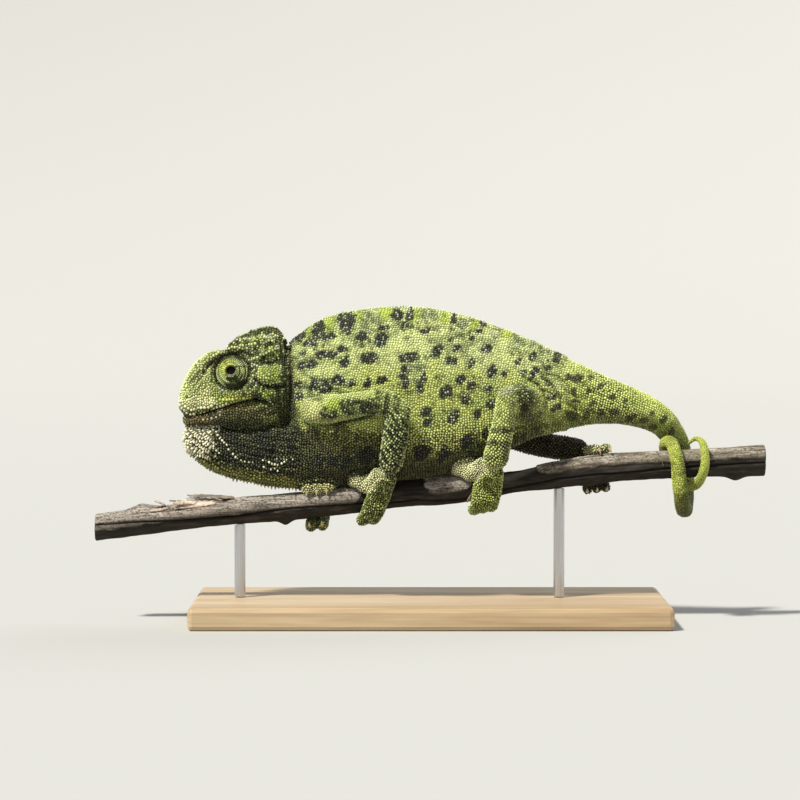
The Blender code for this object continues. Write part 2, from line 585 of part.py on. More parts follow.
def main():
    parts, cutters = start_scene()
    skin = material("skin", SKIN_GREEN, 0.55)
    head_skin = material("head_skin", HEAD_GREEN, 0.55)
    throat_skin = material("throat_skin", THROAT_OLIVE, 0.6)
    horn = material("claw_horn", CLAW_HORN, 0.4)
    wood = material("weathered_wood", WOOD_GREY, 0.8)
    stand_wood = material("stand_wood", STAND_WOOD, 0.45)
    rod_metal = material("rod_metal", ROD_METAL, 0.35, 1.0)
    eye_dark = material("eye", EYE_DARK, 0.08)

    rods = make_stand(parts, stand_wood, rod_metal)
    branch = make_branch(parts, wood)
    branch_grown = grown_copy(branch, cutters)
    for rod in rods:
        cut(rod, branch_grown)

    trunk = make_trunk(parts, skin)
    head = make_head(parts, head_skin)
    jaw = add_part("lower_jaw", upright_loft(JAW, 12, LOFT_SIDES, 0.62, 0.55, 0.8),
                   throat_skin, parts)
    throat = add_part("throat_pouch", upright_loft(THROAT, 14, LOFT_SIDES, 0.7, 0.6, 0.95),
                      throat_skin, parts)
    neck = add_part("neck", upright_loft(NECK, 7, LOFT_SIDES, 0.4, 1.1, 0.9), skin, parts)
    grown = {obj.name: grown_copy(obj, cutters) for obj in (trunk, head, jaw, throat)}
    make_eyes(parts, cutters, head, head_skin, eye_dark)
    cut(jaw, grown["head"])
    cut(trunk, grown["head"])
    cut(throat, grown["lower_jaw"])
    cut(throat, grown["trunk"])
    for name in ("trunk", "head", "lower_jaw", "throat_pouch"):
        cut(neck, grown[name])

    limbs = {}
    for upper, lower, upper_spec, lower_spec in (
            ("left_upper_arm", "left_forearm", ARM_LEFT, FOREARM_LEFT),
            ("right_upper_arm", "right_forearm", ARM_RIGHT, FOREARM_RIGHT),
            ("left_thigh", "left_shank", THIGH_LEFT, SHANK_LEFT),
            ("right_thigh", "right_shank", THIGH_RIGHT, SHANK_RIGHT)):
        limbs[upper] = make_limb(upper, upper_spec, parts, skin)
        limbs[lower] = make_limb(lower, lower_spec, parts, skin)
        cut(limbs[upper], grown["trunk"])
        cut(limbs[upper], grown["throat_pouch"])
        cut(limbs[lower], grown_copy(limbs[upper], cutters))
        cut(limbs[lower], grown["trunk"])

    claw_counts = {}
    bundles = {}
    for name, bundle in BUNDLES.items():
        foot = name.rsplit("_", 1)[0]
        first_claw = claw_counts.get(foot, 1)
        claw_counts[foot] = first_claw + bundle["count"]
        digits, claws = make_bundle(name, bundle, parts, cutters, skin, horn, first_claw)
        bundles[name] = [grown_copy(digit, cutters) for digit in digits]
        hand = digits[0]
        cut(hand, grown_copy(limbs[bundle["limb"]], cutters))
        cut(hand, branch_grown)
        if name in BELLY_YIELDS_TO:
            for piece in bundles[name] + [grown_copy(claw, cutters) for claw in claws]:
                cut(trunk, piece)
                cut(throat, piece)
        else:
            cut(hand, grown["trunk"])
        if name.endswith("inner"):
            for digit in bundles[foot + "_outer"]:
                cut(hand, digit, bent=True)
    make_tail(parts, skin, grown["trunk"])


main()
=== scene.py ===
"""Looks of the common chameleon display model: skin, scales, eyes, claws, perch, stand and stage.

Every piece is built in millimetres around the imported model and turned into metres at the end.
World frame: +Z up, head along -X, the animal's left side faces -Y, the floor at zero.
"""

import math
from itertools import product

import bpy
import numpy as np
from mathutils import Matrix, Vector, kdtree, noise
from mathutils.bvhtree import BVHTree


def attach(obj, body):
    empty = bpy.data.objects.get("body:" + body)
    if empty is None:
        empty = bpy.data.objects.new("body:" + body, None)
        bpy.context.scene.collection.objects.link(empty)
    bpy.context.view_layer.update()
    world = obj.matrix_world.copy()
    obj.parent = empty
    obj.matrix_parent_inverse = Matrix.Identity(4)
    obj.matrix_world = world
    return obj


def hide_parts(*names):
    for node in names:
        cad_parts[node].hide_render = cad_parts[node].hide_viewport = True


bl_info = {
    "name": "Common Chameleon Display Model",
    "version": (1, 0, 0),
    "blender": (4, 5, 0),
    "location": "3D View > Sidebar > Chameleon",
    "description": "Skin, scales, eyes, claws, perch and stand of a life-size chameleon",
    "category": "Object",
}

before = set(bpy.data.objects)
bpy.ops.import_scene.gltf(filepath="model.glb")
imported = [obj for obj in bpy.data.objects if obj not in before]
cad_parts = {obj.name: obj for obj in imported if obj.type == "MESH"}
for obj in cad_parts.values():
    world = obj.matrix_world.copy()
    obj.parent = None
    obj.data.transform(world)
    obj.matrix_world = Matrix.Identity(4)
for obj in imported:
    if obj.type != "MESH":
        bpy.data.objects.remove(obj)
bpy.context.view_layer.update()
MM = 0.001
SEED = 7


def paint(red, green, blue):
    """Linear colour from the usual display values, 0 to 255."""
    shares = [v / 255 for v in (red, green, blue)]
    return tuple(c / 12.92 if c <= 0.04045 else ((c + 0.055) / 1.055)**2.4 for c in shares)


# ---- body, in millimetres
# (x, top, bottom, half width) of the parts of the body that stand upright
TRUNK = (
    (-51.6, 98.4, 96.2, 0.9), (-50.6, 100.2, 92, 2.8), (-49.4, 101.6, 82, 5.4), (-48.2, 102.6, 64, 7.4),
    (-46.6, 103.7, 50, 8.8), (-39.6, 108.2, 47.7, 10.8), (-28.8, 111.3, 48.5, 12),
    (-14.4, 112.9, 49.9, 12.4), (0, 112.3, 51.2, 12.4), (14.4, 109.2, 54.4, 11.6), (28.8, 104, 61.6, 10.2),
    (39.6, 99.6, 66.2, 8.8), (49.6, 94.8, 68, 7.4))
NECK = ((-58, 98, 74, 6.6), (-54, 98.6, 70.6, 7.4), (-49, 99, 70.2, 8), (-45, 98, 70.2, 7.6))
JAW = (
    (-88.9, 74.3, 71.7, 1.3), (-87.6, 73.1, 69.6, 3.4), (-84.5, 73.6, 69.4, 5.5), (-80.5, 74.9, 69.3, 6.7),
    (-75.5, 76.3, 69, 7.6), (-70.5, 78, 68.6, 8.2), (-65, 79.6, 68.2, 8.6), (-59.5, 80, 68.4, 8.6),
    (-55, 79, 70, 7.6), (-53.2, 77.2, 72.6, 5))
THROAT = (
    (-88.1, 68, 64.4, 1.8), (-87.3, 69.4, 61.8, 3.6), (-84.6, 69.4, 59.2, 5), (-80, 69.3, 55.6, 6.1),
    (-73, 69, 51.8, 6.9), (-66, 68.6, 50, 7.5), (-59, 69.4, 48.5, 8), (-53, 71.6, 47.8, 8.5),
    (-48, 73, 47.4, 8.8), (-43.6, 72.4, 47.4, 8.6))
# Rows, share of the depth at the widest line, upper power and lower power
UPRIGHTS = {
    "trunk": (TRUNK, 0.42, 1.45, 1.12), "neck": (NECK, 0.4, 1.1, 0.9), "lower_jaw": (JAW, 0.62, 0.55, 0.8),
    "throat_pouch": (THROAT, 0.7, 0.6, 0.95)}
# x, mouth z, cheek z, brow z, crown z, and the half widths at mouth, cheek, brow, crown
HEAD = (
    (-90.3, 76.6, 77.6, 78.4, 79.2, 1.1, 1.5, 1.2, 0.6),
    (-89.3, 75.3, 79.2, 81.6, 83.2, 2.7, 3.1, 2.6, 1.5), (-87.4, 73.5, 81, 85.6, 88.2, 4.4, 4.7, 4.2, 2.6),
    (-84.5, 74, 82.8, 89.9, 92.6, 5.9, 6.2, 5.8, 3.7), (-80.5, 75.3, 84.8, 93.2, 95.9, 7, 7.3, 7.2, 4.4),
    (-75.5, 76.7, 86.8, 95.9, 97.5, 7.9, 8, 8.3, 4.2), (-70.5, 78.4, 87.8, 97.2, 100.4, 8.5, 8.6, 8.6, 2.9),
    (-65, 80, 88.4, 97.9, 103.8, 8.8, 9.3, 8, 1.9), (-59.5, 80.4, 88.2, 98.6, 105.6, 8.7, 9.5, 6.8, 1.5),
    (-54.6, 79.6, 87.6, 97.6, 105.2, 7.6, 8.6, 5.4, 1.4), (-51.8, 80.4, 87.6, 95.6, 101, 6, 7, 4.3, 1.2),
    (-50.4, 83.5, 87.8, 92, 95.8, 3.2, 3.6, 2.6, 0.8))
EYE_CENTRE = (-70.3, 2.9, 89.1)     # back of each turret, mirrored across Y
EYE_FORWARD = 5
EYE_UP = 7
EYE_RING = (-70.8, 89.7)     # middle of the folds round each eye
TAIL_PATH = (
    (48.4, 0, 81.2), (61.5, 0.3, 79.2), (72.8, 1.6, 76.5), (82.5, 5.4, 72.2), (89.2, 11.2, 64.6),
    (92.6, 14.4, 54.4), (93, 12, 45.2), (92, 3.4, 39.6), (90.4, -5.4, 42.6), (89.1, -8.4, 50.4),
    (88.4, -7.9, 57.8), (86.8, -2.8, 63.7), (84.9, 3, 63.2), (86.4, 7.6, 57.6), (90.6, 6.4, 51),
    (94.6, -0.2, 48.2), (97.2, -6.2, 51.6), (98.4, -8, 57.6), (97.9, -5.6, 63.4), (95.8, -1.6, 65.4),
    (92.8, 1.2, 63.2))
# (share of the length, half depth, half width)
TAIL_RADII = (
    (0, 12.9, 7.1), (0.09, 8.4, 5.6), (0.17, 6.3, 4.8), (0.27, 4.7, 4.1), (0.4, 3.4, 3.2),
    (0.55, 2.85, 2.8), (0.68, 2.4, 2.4), (0.8, 2.1, 2.1), (0.92, 1.8, 1.8), (1, 0.9, 0.9))
# Centre line of each limb, and radii at equal steps along it
LIMBS = {
    "left_upper_arm": (((-45.4, -8.5, 75), (-30, -15.2, 77.4), (-12.4, -19, 80)), (5.2, 4.6, 4.4)),
    "left_forearm": (((-11.4, -19.4, 80.6), (-12.4, -17.2, 67.4), (-14.6, -12.8, 53.8)), (4.2, 4.5, 4.2)),
    "right_upper_arm": (((-44, 8.5, 72), (-32, 16.5, 70.6), (-18.5, 21.5, 67.6)), (5.2, 4.6, 4.3)),
    "right_forearm": (((-17, 21.8, 67.4), (-27, 17.6, 60), (-37.4, 12.6, 52.6)), (4.1, 4.4, 3.9)),
    "left_thigh": (((37.5, -4.5, 75), (33, -11.4, 79), (28.4, -17.2, 82.6)), (7.4, 5.8, 4.4)),
    "left_shank": (((27.8, -17.6, 84.2), (25.8, -15.4, 70.6), (22.4, -12.4, 55)), (3.6, 4, 4.7)),
    "right_thigh": (((40.5, 6, 73.5), (33, 12, 69.5), (28, 17, 65.8)), (7, 5.2, 4.1)),
    "right_shank": (((27, 17.4, 65.2), (42, 14.4, 62.2), (57.4, 10.8, 60.2)), (3.7, 4.5, 4.1))}
# Wrist, (x, angle about the perch) of palm and tips, number of digits, spacing, radius and slack
BUNDLES = {
    "left_hand_outer": ((-15.6, -12, 52.6), (-18.4, 80), (-23.2, 178), 2, 4, 2.55, 0),
    "left_hand_inner": ((-17, -11.4, 53.4), (-20.2, 52), (-26.2, 16), 3, 3.2, 2.2, 1.2),
    "right_hand_outer": ((-38.8, 13, 48.6), (-40.2, -104), (-41, -196), 2, 4.4, 2.35, 0),
    "right_hand_inner": ((-38.6, 11.4, 51.4), (-39.8, -42), (-40.6, 40), 3, 3.5, 2, 0),
    "left_foot_outer": ((22.2, -12.4, 54.2), (20.8, 80), (18.4, 184), 3, 3.3, 2.3, 1.9),
    "left_foot_inner": ((20, -11, 56), (16.6, 46), (9, 4), 2, 4.1, 2.8, 0.8),
    "right_foot_outer": ((58.2, 11.4, 58.6), (60, -104), (60.2, -178), 3, 3.5, 1.9, 0),
    "right_foot_inner": ((58.6, 9.4, 60.9), (60.5, -46), (62.6, 12), 2, 3.7, 1.9, 0)}
DIGIT_CLEARANCE = 0.35
CLAW_RADIUS = 0.62
CLAW_PATH = ((0.1, 0), (0.9, 0.25), (1.6, 0.85), (2.05, 1.6))     # (forward, towards the perch)

BRANCH_ENDS = (-120.5, 120.5)
BRANCH_CENTRE = (
    (-121, 32.9), (-83, 37.8), (-47, 40.9), (-11, 44.6), (7, 46.3), (32, 49.9), (61, 54.2), (79, 55.3),
    (97, 56.2), (121, 57.2))
BRANCH_RADIUS = (
    (-121, 4.9), (-60, 4.9), (-30, 4.9), (-14, 4.4), (-4, 4.4), (3, 4.9), (14, 4.9), (24, 4.4), (34, 4.2),
    (44, 4.9), (62, 5.1), (98, 5), (121, 5.6))
# (x, angle from the top towards the left side, spread in x, height)
KNOTS = ((-104, 0, 4, 1.6), (-52, 180, 2.2, 1.6), (110, 175, 3, 1.5), (58, 170, 4, 1))


# ---- small maths
def smooth(table, x, column=1):
    """One column of a table at each x, on a cubic through the rows."""
    rows = np.asarray(table, float)
    at, v = rows[:, 0], rows[:, column]
    x = np.clip(np.asarray(x, float), at[0], at[-1])
    slope = np.concatenate([np.diff(v[:2]) / np.diff(at[:2]), (v[2:] - v[:-2]) / (at[2:] - at[:-2]),
                            np.diff(v[-2:]) / np.diff(at[-2:])])
    k = np.clip(np.searchsorted(at, x, side="right") - 1, 0, len(at) - 2)
    span = at[k + 1] - at[k]
    t = (x - at[k]) / span
    return ((2 * t**3 - 3 * t**2 + 1) * v[k] + (t**3 - 2 * t**2 + t) * span * slope[k]
            + (3 * t**2 - 2 * t**3) * v[k + 1] + (t**3 - t**2) * span * slope[k + 1])


def step(low, high, x):
    """Smooth step from 0 at low to 1 at high."""
    t = np.clip((x - low) / (high - low), 0, 1)
    return t * t * (3 - 2 * t)


def bell(x, middle, width):
    return np.exp(-((x - middle) / width)**2)


def swell(flat, cx, cz, rx, rz, power=2):
    """1 at the middle of a rounded place on the side of the head, falling to 0 round it."""
    return np.exp(-((flat[:, 0] - cx) / rx)**power - ((flat[:, 1] - cz) / rz)**power)


def run_of(line):
    """Running length at each point of a line."""
    return np.concatenate([[0], np.cumsum(np.linalg.norm(np.diff(line, axis=0), axis=1))])


def curve_through(points, fine=24):
    """Catmull-Rom curve through the points, with the running length at each."""
    p = np.asarray(points, float)
    p = np.vstack([p[0] * 2 - p[1], p, p[-1] * 2 - p[-2]])
    t = (np.arange(fine) / fine)[:, None]
    out = [0.5 * (2 * b + (c - a) * t + (2 * a - 5 * b + 4 * c - d) * t**2 + (3 * b - a - 3 * c + d) * t**3)
           for a, b, c, d in zip(p, p[1:], p[2:], p[3:])]
    line = np.vstack(out + [p[-2:-1]])
    return line, run_of(line)


def along_curve(curve, runs):
    line, run = curve
    return np.stack([np.interp(runs, run, line[:, k]) for k in range(line.shape[1])], axis=-1)


def unit(vectors):
    return vectors / np.maximum(np.linalg.norm(vectors, axis=-1, keepdims=True), 1e-9)


def across_normals(directions, normals):
    """Directions laid flat on the surface."""
    return unit(directions - normals * (directions * normals).sum(axis=1, keepdims=True))


def around_branch(x, angle, distance):
    """Points at a distance from the perch's centre line, angles counted from its top."""
    a = np.radians(angle)
    return np.stack([x + 0 * a, -distance * np.sin(a), smooth(BRANCH_CENTRE, x) + distance * np.cos(a)],
                    axis=-1)


def grain(points, scale, octaves=2, shift=0.0):
    """Fractal noise from about -1 to 1 at each point, its features about scale across."""
    places = np.asarray(points, float) / scale + shift
    return np.array([noise.fractal(Vector(p), 1.0, 2.0, octaves) for p in places])


def near_line(points, line):
    """Distance from each point to a bent line, and its place along it from 0 to 1."""
    path, run = curve_through(line, 8)
    best = np.full(len(points), 1e9)
    share = np.zeros(len(points))
    for k in range(len(path) - 1):
        d = path[k + 1] - path[k]
        t = np.clip((points - path[k]) @ d / (d @ d), 0, 1)
        far = np.linalg.norm(points - path[k] - t[:, None] * d, axis=1)
        closer = far < best
        best[closer] = far[closer]
        share[closer] = ((run[k] + t * (run[k + 1] - run[k])) / run[-1])[closer]
    return best, share


def inside_box(points, line, margin):
    """Which points lie near enough to a bent line to be worth measuring."""
    low, high = np.min(line, axis=0) - margin, np.max(line, axis=0) + margin
    return np.nonzero(((points > low) & (points < high)).all(axis=1))[0]


# ---- tubes of the body
def frames_along(centres):
    """Directions along, to the side of and above a run of centres, turned as little as possible."""
    along = unit(np.vstack([centres[1:], centres[-1:]]) - np.vstack([centres[:1], centres[:-1]]))
    side = np.array([0.0, 1.0, 0.0]) if abs(along[0][1]) < 0.8 else np.array([1.0, 0.0, 0.0])
    sides = []
    for a in along:
        side = unit(side - a * (side @ a))
        sides.append(side)
    return along, np.array(sides), np.cross(along, sides)


def swept(centres, depths, widths, count):
    """Rings of points round a run of centres."""
    side, up = frames_along(centres)[1:]
    a = 2 * np.pi * np.arange(count) / count
    return (centres[:, None] + (side[:, None] * (widths[:, None] * np.cos(a))[..., None]
                                + up[:, None] * (depths[:, None] * np.sin(a))[..., None]))


def limb_tube(points, radii, inset, count=40, round_start=True, gap=0.35):
    """Rings of a round-ended limb, closer together at its ends, and its centre line."""
    curve = curve_through(points)
    length = curve[1][-1]
    table = [(length * i / (len(radii) - 1), r) for i, r in enumerate(radii)]
    cap = np.arange(1, 9) / 8 * np.pi / 2
    starts = radii[0] * (1 - np.cos(cap)) if round_start else np.array([0.0])
    low, high = starts[-1], length - radii[-1]
    middle = np.linspace(low, high, max(int((high - low) / gap), 4))[1:-1]
    runs = np.concatenate([starts, middle, length - radii[-1] * (1 - np.cos(cap[::-1]))])
    share = np.concatenate([np.sin(cap) if round_start else [1.0], np.ones(len(middle)), np.sin(cap[::-1])])
    size = np.maximum(smooth(table, runs) * share - inset, 0.05)
    centres = along_curve(curve, runs)
    return swept(centres, size, size, count), centres


def stations(rows, inset, gap):
    """Places along x, closer together near both ends."""
    first, last = rows[0][0] + inset, rows[-1][0] - inset
    t = np.linspace(0, 1, int((last - first) / gap))
    return first + (last - first) * (0.45 * t + 0.55 * (1 - np.cos(np.pi * t)) / 2)


def upright_tube(name, inset, gap=0.45, count=120):
    """Rings of the trunk, neck, jaw or throat, and its centre line."""
    rows, waist, upper, lower = UPRIGHTS[name]
    x = stations(rows, inset, gap)
    top, bottom, half = (smooth(rows, x, c) for c in (1, 2, 3))
    top, bottom, half = top - inset, bottom + inset, np.maximum(half - inset, 0.3)
    middle = bottom + (top - bottom) * waist
    a = 2 * np.pi * (np.arange(count) + 0.5) / count
    c, s = np.cos(a), np.sin(a)
    y = half[:, None] * np.sign(c) * np.abs(c)**np.where(s > 0, upper, lower)
    z = middle[:, None] + s * np.where(s > 0, (top - middle)[:, None], (middle - bottom)[:, None])
    rings = np.stack([np.broadcast_to(x[:, None], y.shape), y, z], axis=-1)
    return rings, np.stack([x, 0 * x, (top + bottom) / 2], axis=-1)


def head_tube(inset, gap=0.4, half_count=50):
    """Rings of the head and its centre line."""
    xs = stations(HEAD, inset, gap)
    rings = []
    for x in xs:
        mouth, cheek, brow, crown, w_mouth, w_cheek, w_brow, w_crown = (
            float(smooth(HEAD, x, c)) for c in range(1, 9))
        mouth += inset
        crown -= inset
        curve = curve_through([(0, mouth), (0.72 * w_mouth, mouth),
                               (w_mouth - inset, mouth + 0.12 * (cheek - mouth)),
                               (w_cheek - inset, cheek), (w_brow - inset, brow),
                               (max(w_crown - inset, 0.2), brow + 0.86 * (crown - brow)), (0, crown)], 12)
        side = along_curve(curve, np.linspace(0, curve[1][-1], half_count))
        ring = np.vstack([side, side[-2:0:-1] * [-1, 1]])
        rings.append(np.column_stack([np.full(len(ring), x), ring]))
    rings = np.array(rings)
    middle = (rings[:, 0, 2] + rings[:, half_count - 1, 2]) / 2
    return rings, np.stack([xs, 0 * xs, middle], axis=-1)


def digit_routes(name):
    """Centre line of each digit of a bundle: the wrist, then around the perch to the tip."""
    wrist, (x0, a0), (x1, a1), count, pitch, radius, slack = BUNDLES[name]
    routes = []
    for k in range(count):
        offset = (k - (count - 1) / 2) * pitch
        points = [np.array(wrist) + [offset * 0.35, 0, 0]]
        for share in (0.0, 0.35, 0.7, 1.0):
            x = x0 + (x1 - x0) * share + offset * (0.8 + 0.2 * share)
            loose = slack * math.sin(math.pi * min(share + 0.15, 1.0))
            far = smooth(BRANCH_RADIUS, x) + radius + DIGIT_CLEARANCE + loose
            points.append(around_branch(x, a0 + (a1 - a0) * share, far))
        routes.append(np.array(points))
    return routes


def body_tubes(inset):
    """Every length of flesh as (name, rings, centre line)."""
    tubes = [(name, *upright_tube(name, inset)) for name in UPRIGHTS]
    tubes.append(("head", *head_tube(inset)))
    curve = curve_through(TAIL_PATH)
    runs = np.linspace(0, curve[1][-1], 480)
    share = runs / curve[1][-1]
    ends = np.sqrt(np.clip(1 - np.clip((share - 0.994) / 0.006, 0, 1)**2, 0.01, 1))
    depth, width = ((smooth(TAIL_RADII, share, c) - inset) * ends for c in (1, 2))
    centres = along_curve(curve, runs)
    tubes.append(("tail", swept(centres, depth, width, 56), centres))
    tubes += [(name, *limb_tube(points, radii, inset)) for name, (points, radii) in LIMBS.items()]
    for name, bundle in BUNDLES.items():
        radii = [bundle[5] * share for share in (1.25, 1.12, 1.0, 0.86)]
        tubes += [("%s_%d" % (name, k + 1), *limb_tube(points, radii, inset, 28, False, 0.3))
                  for k, points in enumerate(digit_routes(name))]
    return tubes


# ---- meshes
def mesh_from(name, verts, quads=(), tris=(), extra=()):
    """Smooth-shaded mesh in metres from points in millimetres and arrays of equal faces."""
    groups = [np.asarray(g, np.int64) for g in (quads, tris, extra) if len(g)]
    mesh = bpy.data.meshes.new(name)
    mesh.vertices.add(len(verts))
    mesh.vertices.foreach_set("co", (np.asarray(verts) * MM).astype(np.float32).ravel())
    corners = np.concatenate([g.ravel() for g in groups])
    sizes = np.concatenate([np.full(len(g), g.shape[1]) for g in groups])
    mesh.loops.add(len(corners))
    mesh.loops.foreach_set("vertex_index", corners.astype(np.int32))
    mesh.polygons.add(len(sizes))
    starts = np.concatenate([[0], np.cumsum(sizes)[:-1]])
    mesh.polygons.foreach_set("loop_start", starts.astype(np.int32))
    mesh.update(calc_edges=True)
    mesh.shade_smooth()
    return mesh


def ring_quads(rows, count):
    """Faces between neighbouring rings of points."""
    k = np.arange(rows - 1)[:, None] * count
    i = np.arange(count)
    j = (i + 1) % count
    return np.stack([k + i, k + j, k + j + count, k + i + count], axis=-1).reshape(-1, 4)


def tubes_mesh(name, tubes):
    """One mesh of closed tubes, each given as its rings of points and closed by fans."""
    verts, quads, tris, first = [], [], [], 0
    for rings in tubes:
        rows, count = rings.shape[:2]
        i, last, end = np.arange(count), (rows - 1) * count, np.full(count, rows * count)
        j = (i + 1) % count
        quads.append(ring_quads(rows, count) + first)
        tris += [np.stack(fan, axis=-1) + first for fan in ((j, i, end), (last + i, last + j, end + 1))]
        verts += [rings.reshape(-1, 3), rings[:1].mean(axis=1), rings[-1:].mean(axis=1)]
        first += rows * count + 2
    return mesh_from(name, np.vstack(verts), np.vstack(quads), np.vstack(tris))


def add_object(name, mesh, material=None):
    obj = bpy.data.objects.new(name, mesh)
    bpy.context.scene.collection.objects.link(obj)
    if material:
        mesh.materials.append(material)
    return obj


def apply_modifiers(obj):
    graph = bpy.context.evaluated_depsgraph_get()
    made = bpy.data.meshes.new_from_object(obj.evaluated_get(graph))
    old = obj.data
    obj.modifiers.clear()
    obj.data = made
    bpy.data.meshes.remove(old)


def vectors_of(items, field):
    out = np.empty(len(items) * 3, np.float32)
    items.foreach_get(field, out)
    return out.reshape(-1, 3).astype(float)


def shape_of(mesh):
    """Points in millimetres and their normals."""
    return vectors_of(mesh.vertices, "co") / MM, vectors_of(mesh.vertex_normals, "vector")


def surface_of(mesh):
    """A mesh in millimetres on which rays and nearest places are found."""
    return BVHTree.FromPolygons(shape_of(mesh)[0].tolist(), [tuple(p.vertices) for p in mesh.polygons])


def set_colours(mesh, colours):
    layer = mesh.color_attributes.new(name="Markings", type="FLOAT_COLOR", domain="POINT")
    full = np.column_stack([colours, np.ones(len(colours))])
    layer.data.foreach_set("color", full.astype(np.float32).ravel())


# ---- folds and creases of the skin
# (height above the skin, half width, line through (x, z) on the side of the head)
HEAD_FOLDS = {
    "brow_crest": (1.5, 1.1, ((-87.6, 84), (-84.5, 88.8), (-80.5, 93), (-76, 96.4), (-70.5, 98.4),
        (-65, 99.4), (-59.5, 100.2), (-54, 101.2))),
    "brow_groove": (-1.7, 0.85, ((-79.6, 91.2), (-78.4, 92.8), (-76.4, 94.4), (-73.2, 96.2), (-70, 96.9),
        (-66.4, 96.2), (-63.4, 94.2))),
    "canthus_low": (0.5, 1, ((-86.6, 80.4), (-83.6, 83.6), (-80.8, 86.6), (-78.4, 89.6))),
    "canthus_line": (-0.3, 0.45, ((-80.2, 89.3), (-82.6, 86.2), (-84.6, 83.4), (-86.6, 80.8))),
    "roof_hollow": (-0.9, 1.5, ((-67, 101.2), (-61, 103), (-55.5, 103.2))),
    "temple_crest": (1, 0.9, ((-64.5, 93.8), (-60, 95.8), (-56, 97.6), (-53.4, 98.6))),
    "temple_pit": (-1.3, 0.6, ((-60.8, 93.4), (-59, 95.2), (-56.2, 95.4), (-54.8, 94), (-56.4, 92.7),
        (-59.2, 92.4), (-60.8, 93.4))),
    "cheek_groove": (-2, 0.8, ((-62.8, 87), (-60.2, 85.2), (-56, 84.2), (-52.4, 84.6))),
    "under_eye": (0.6, 0.9, ((-77.8, 84.6), (-74.4, 82.6), (-70.4, 81.8), (-66.4, 82.6), (-63.6, 84.6))),
    "ear_groove": (-1.3, 0.7, ((-54.2, 101.5), (-53.6, 97.5), (-53.3, 93.8))),
    "jaw_ring": (-0.7, 0.5, ((-59.6, 83), (-57.2, 81.8), (-56.2, 79.2), (-57.6, 76.6), (-60.6, 75.6))),
    "jaw_ring_2": (-0.6, 0.5, ((-57, 83.4), (-54.6, 81.4), (-54, 78.4), (-55.4, 75.2), (-59, 73.8))),
    "lip": (0.7, 1.3, ((-89.6, 77.6), (-85, 75.4), (-79.5, 77.1), (-72.6, 79.2), (-66.6, 81.3), (-62, 82))),
    "mouth": (-0.24, 0.34, ((-90.4, 76.1), (-88.4, 74), (-86.4, 73.4), (-83, 73.9), (-79.7, 74.5),
        (-76.4, 75.7), (-72.7, 76.9), (-66.6, 78.5), (-62.3, 79.4), (-59.5, 78.6))),
    "lower_lip": (0.5, 0.8, ((-88, 71.6), (-84, 72.6), (-79, 73.6), (-72.5, 75.8), (-66, 77.8))),
    "neck_fold": (-2.3, 1.4, ((-51.2, 101), (-50.6, 94), (-50, 86), (-50.6, 78), (-51.8, 70))),
    "neck_fold_2": (-0.8, 0.8, ((-54.4, 79.4), (-53.8, 73), (-54.6, 66), (-56.6, 60))),
    "chin_fold": (-0.3, 0.8, ((-87.6, 69.4), (-82, 69.8), (-74, 70.2), (-64, 71.6)))}
# (x, z, half length, half height, swelling) of the soft parts of the cheek and snout
HEAD_SWELLS = {
    "cheek": (-57, 88.4, 5.2, 3, 1.9), "jaw_corner": (-57.4, 81.6, 3.6, 2, 1.1),
    "snout_side": (-83.4, 80.6, 3.4, 2.6, 0.5), "nostril": (-81.3, 88.8, 0.5, 0.45, -1.2),
    "nostril_rim": (-81.3, 88.8, 1.1, 1, 0.5), "temple": (-63.2, 90.2, 1.8, 2.6, -0.9)}
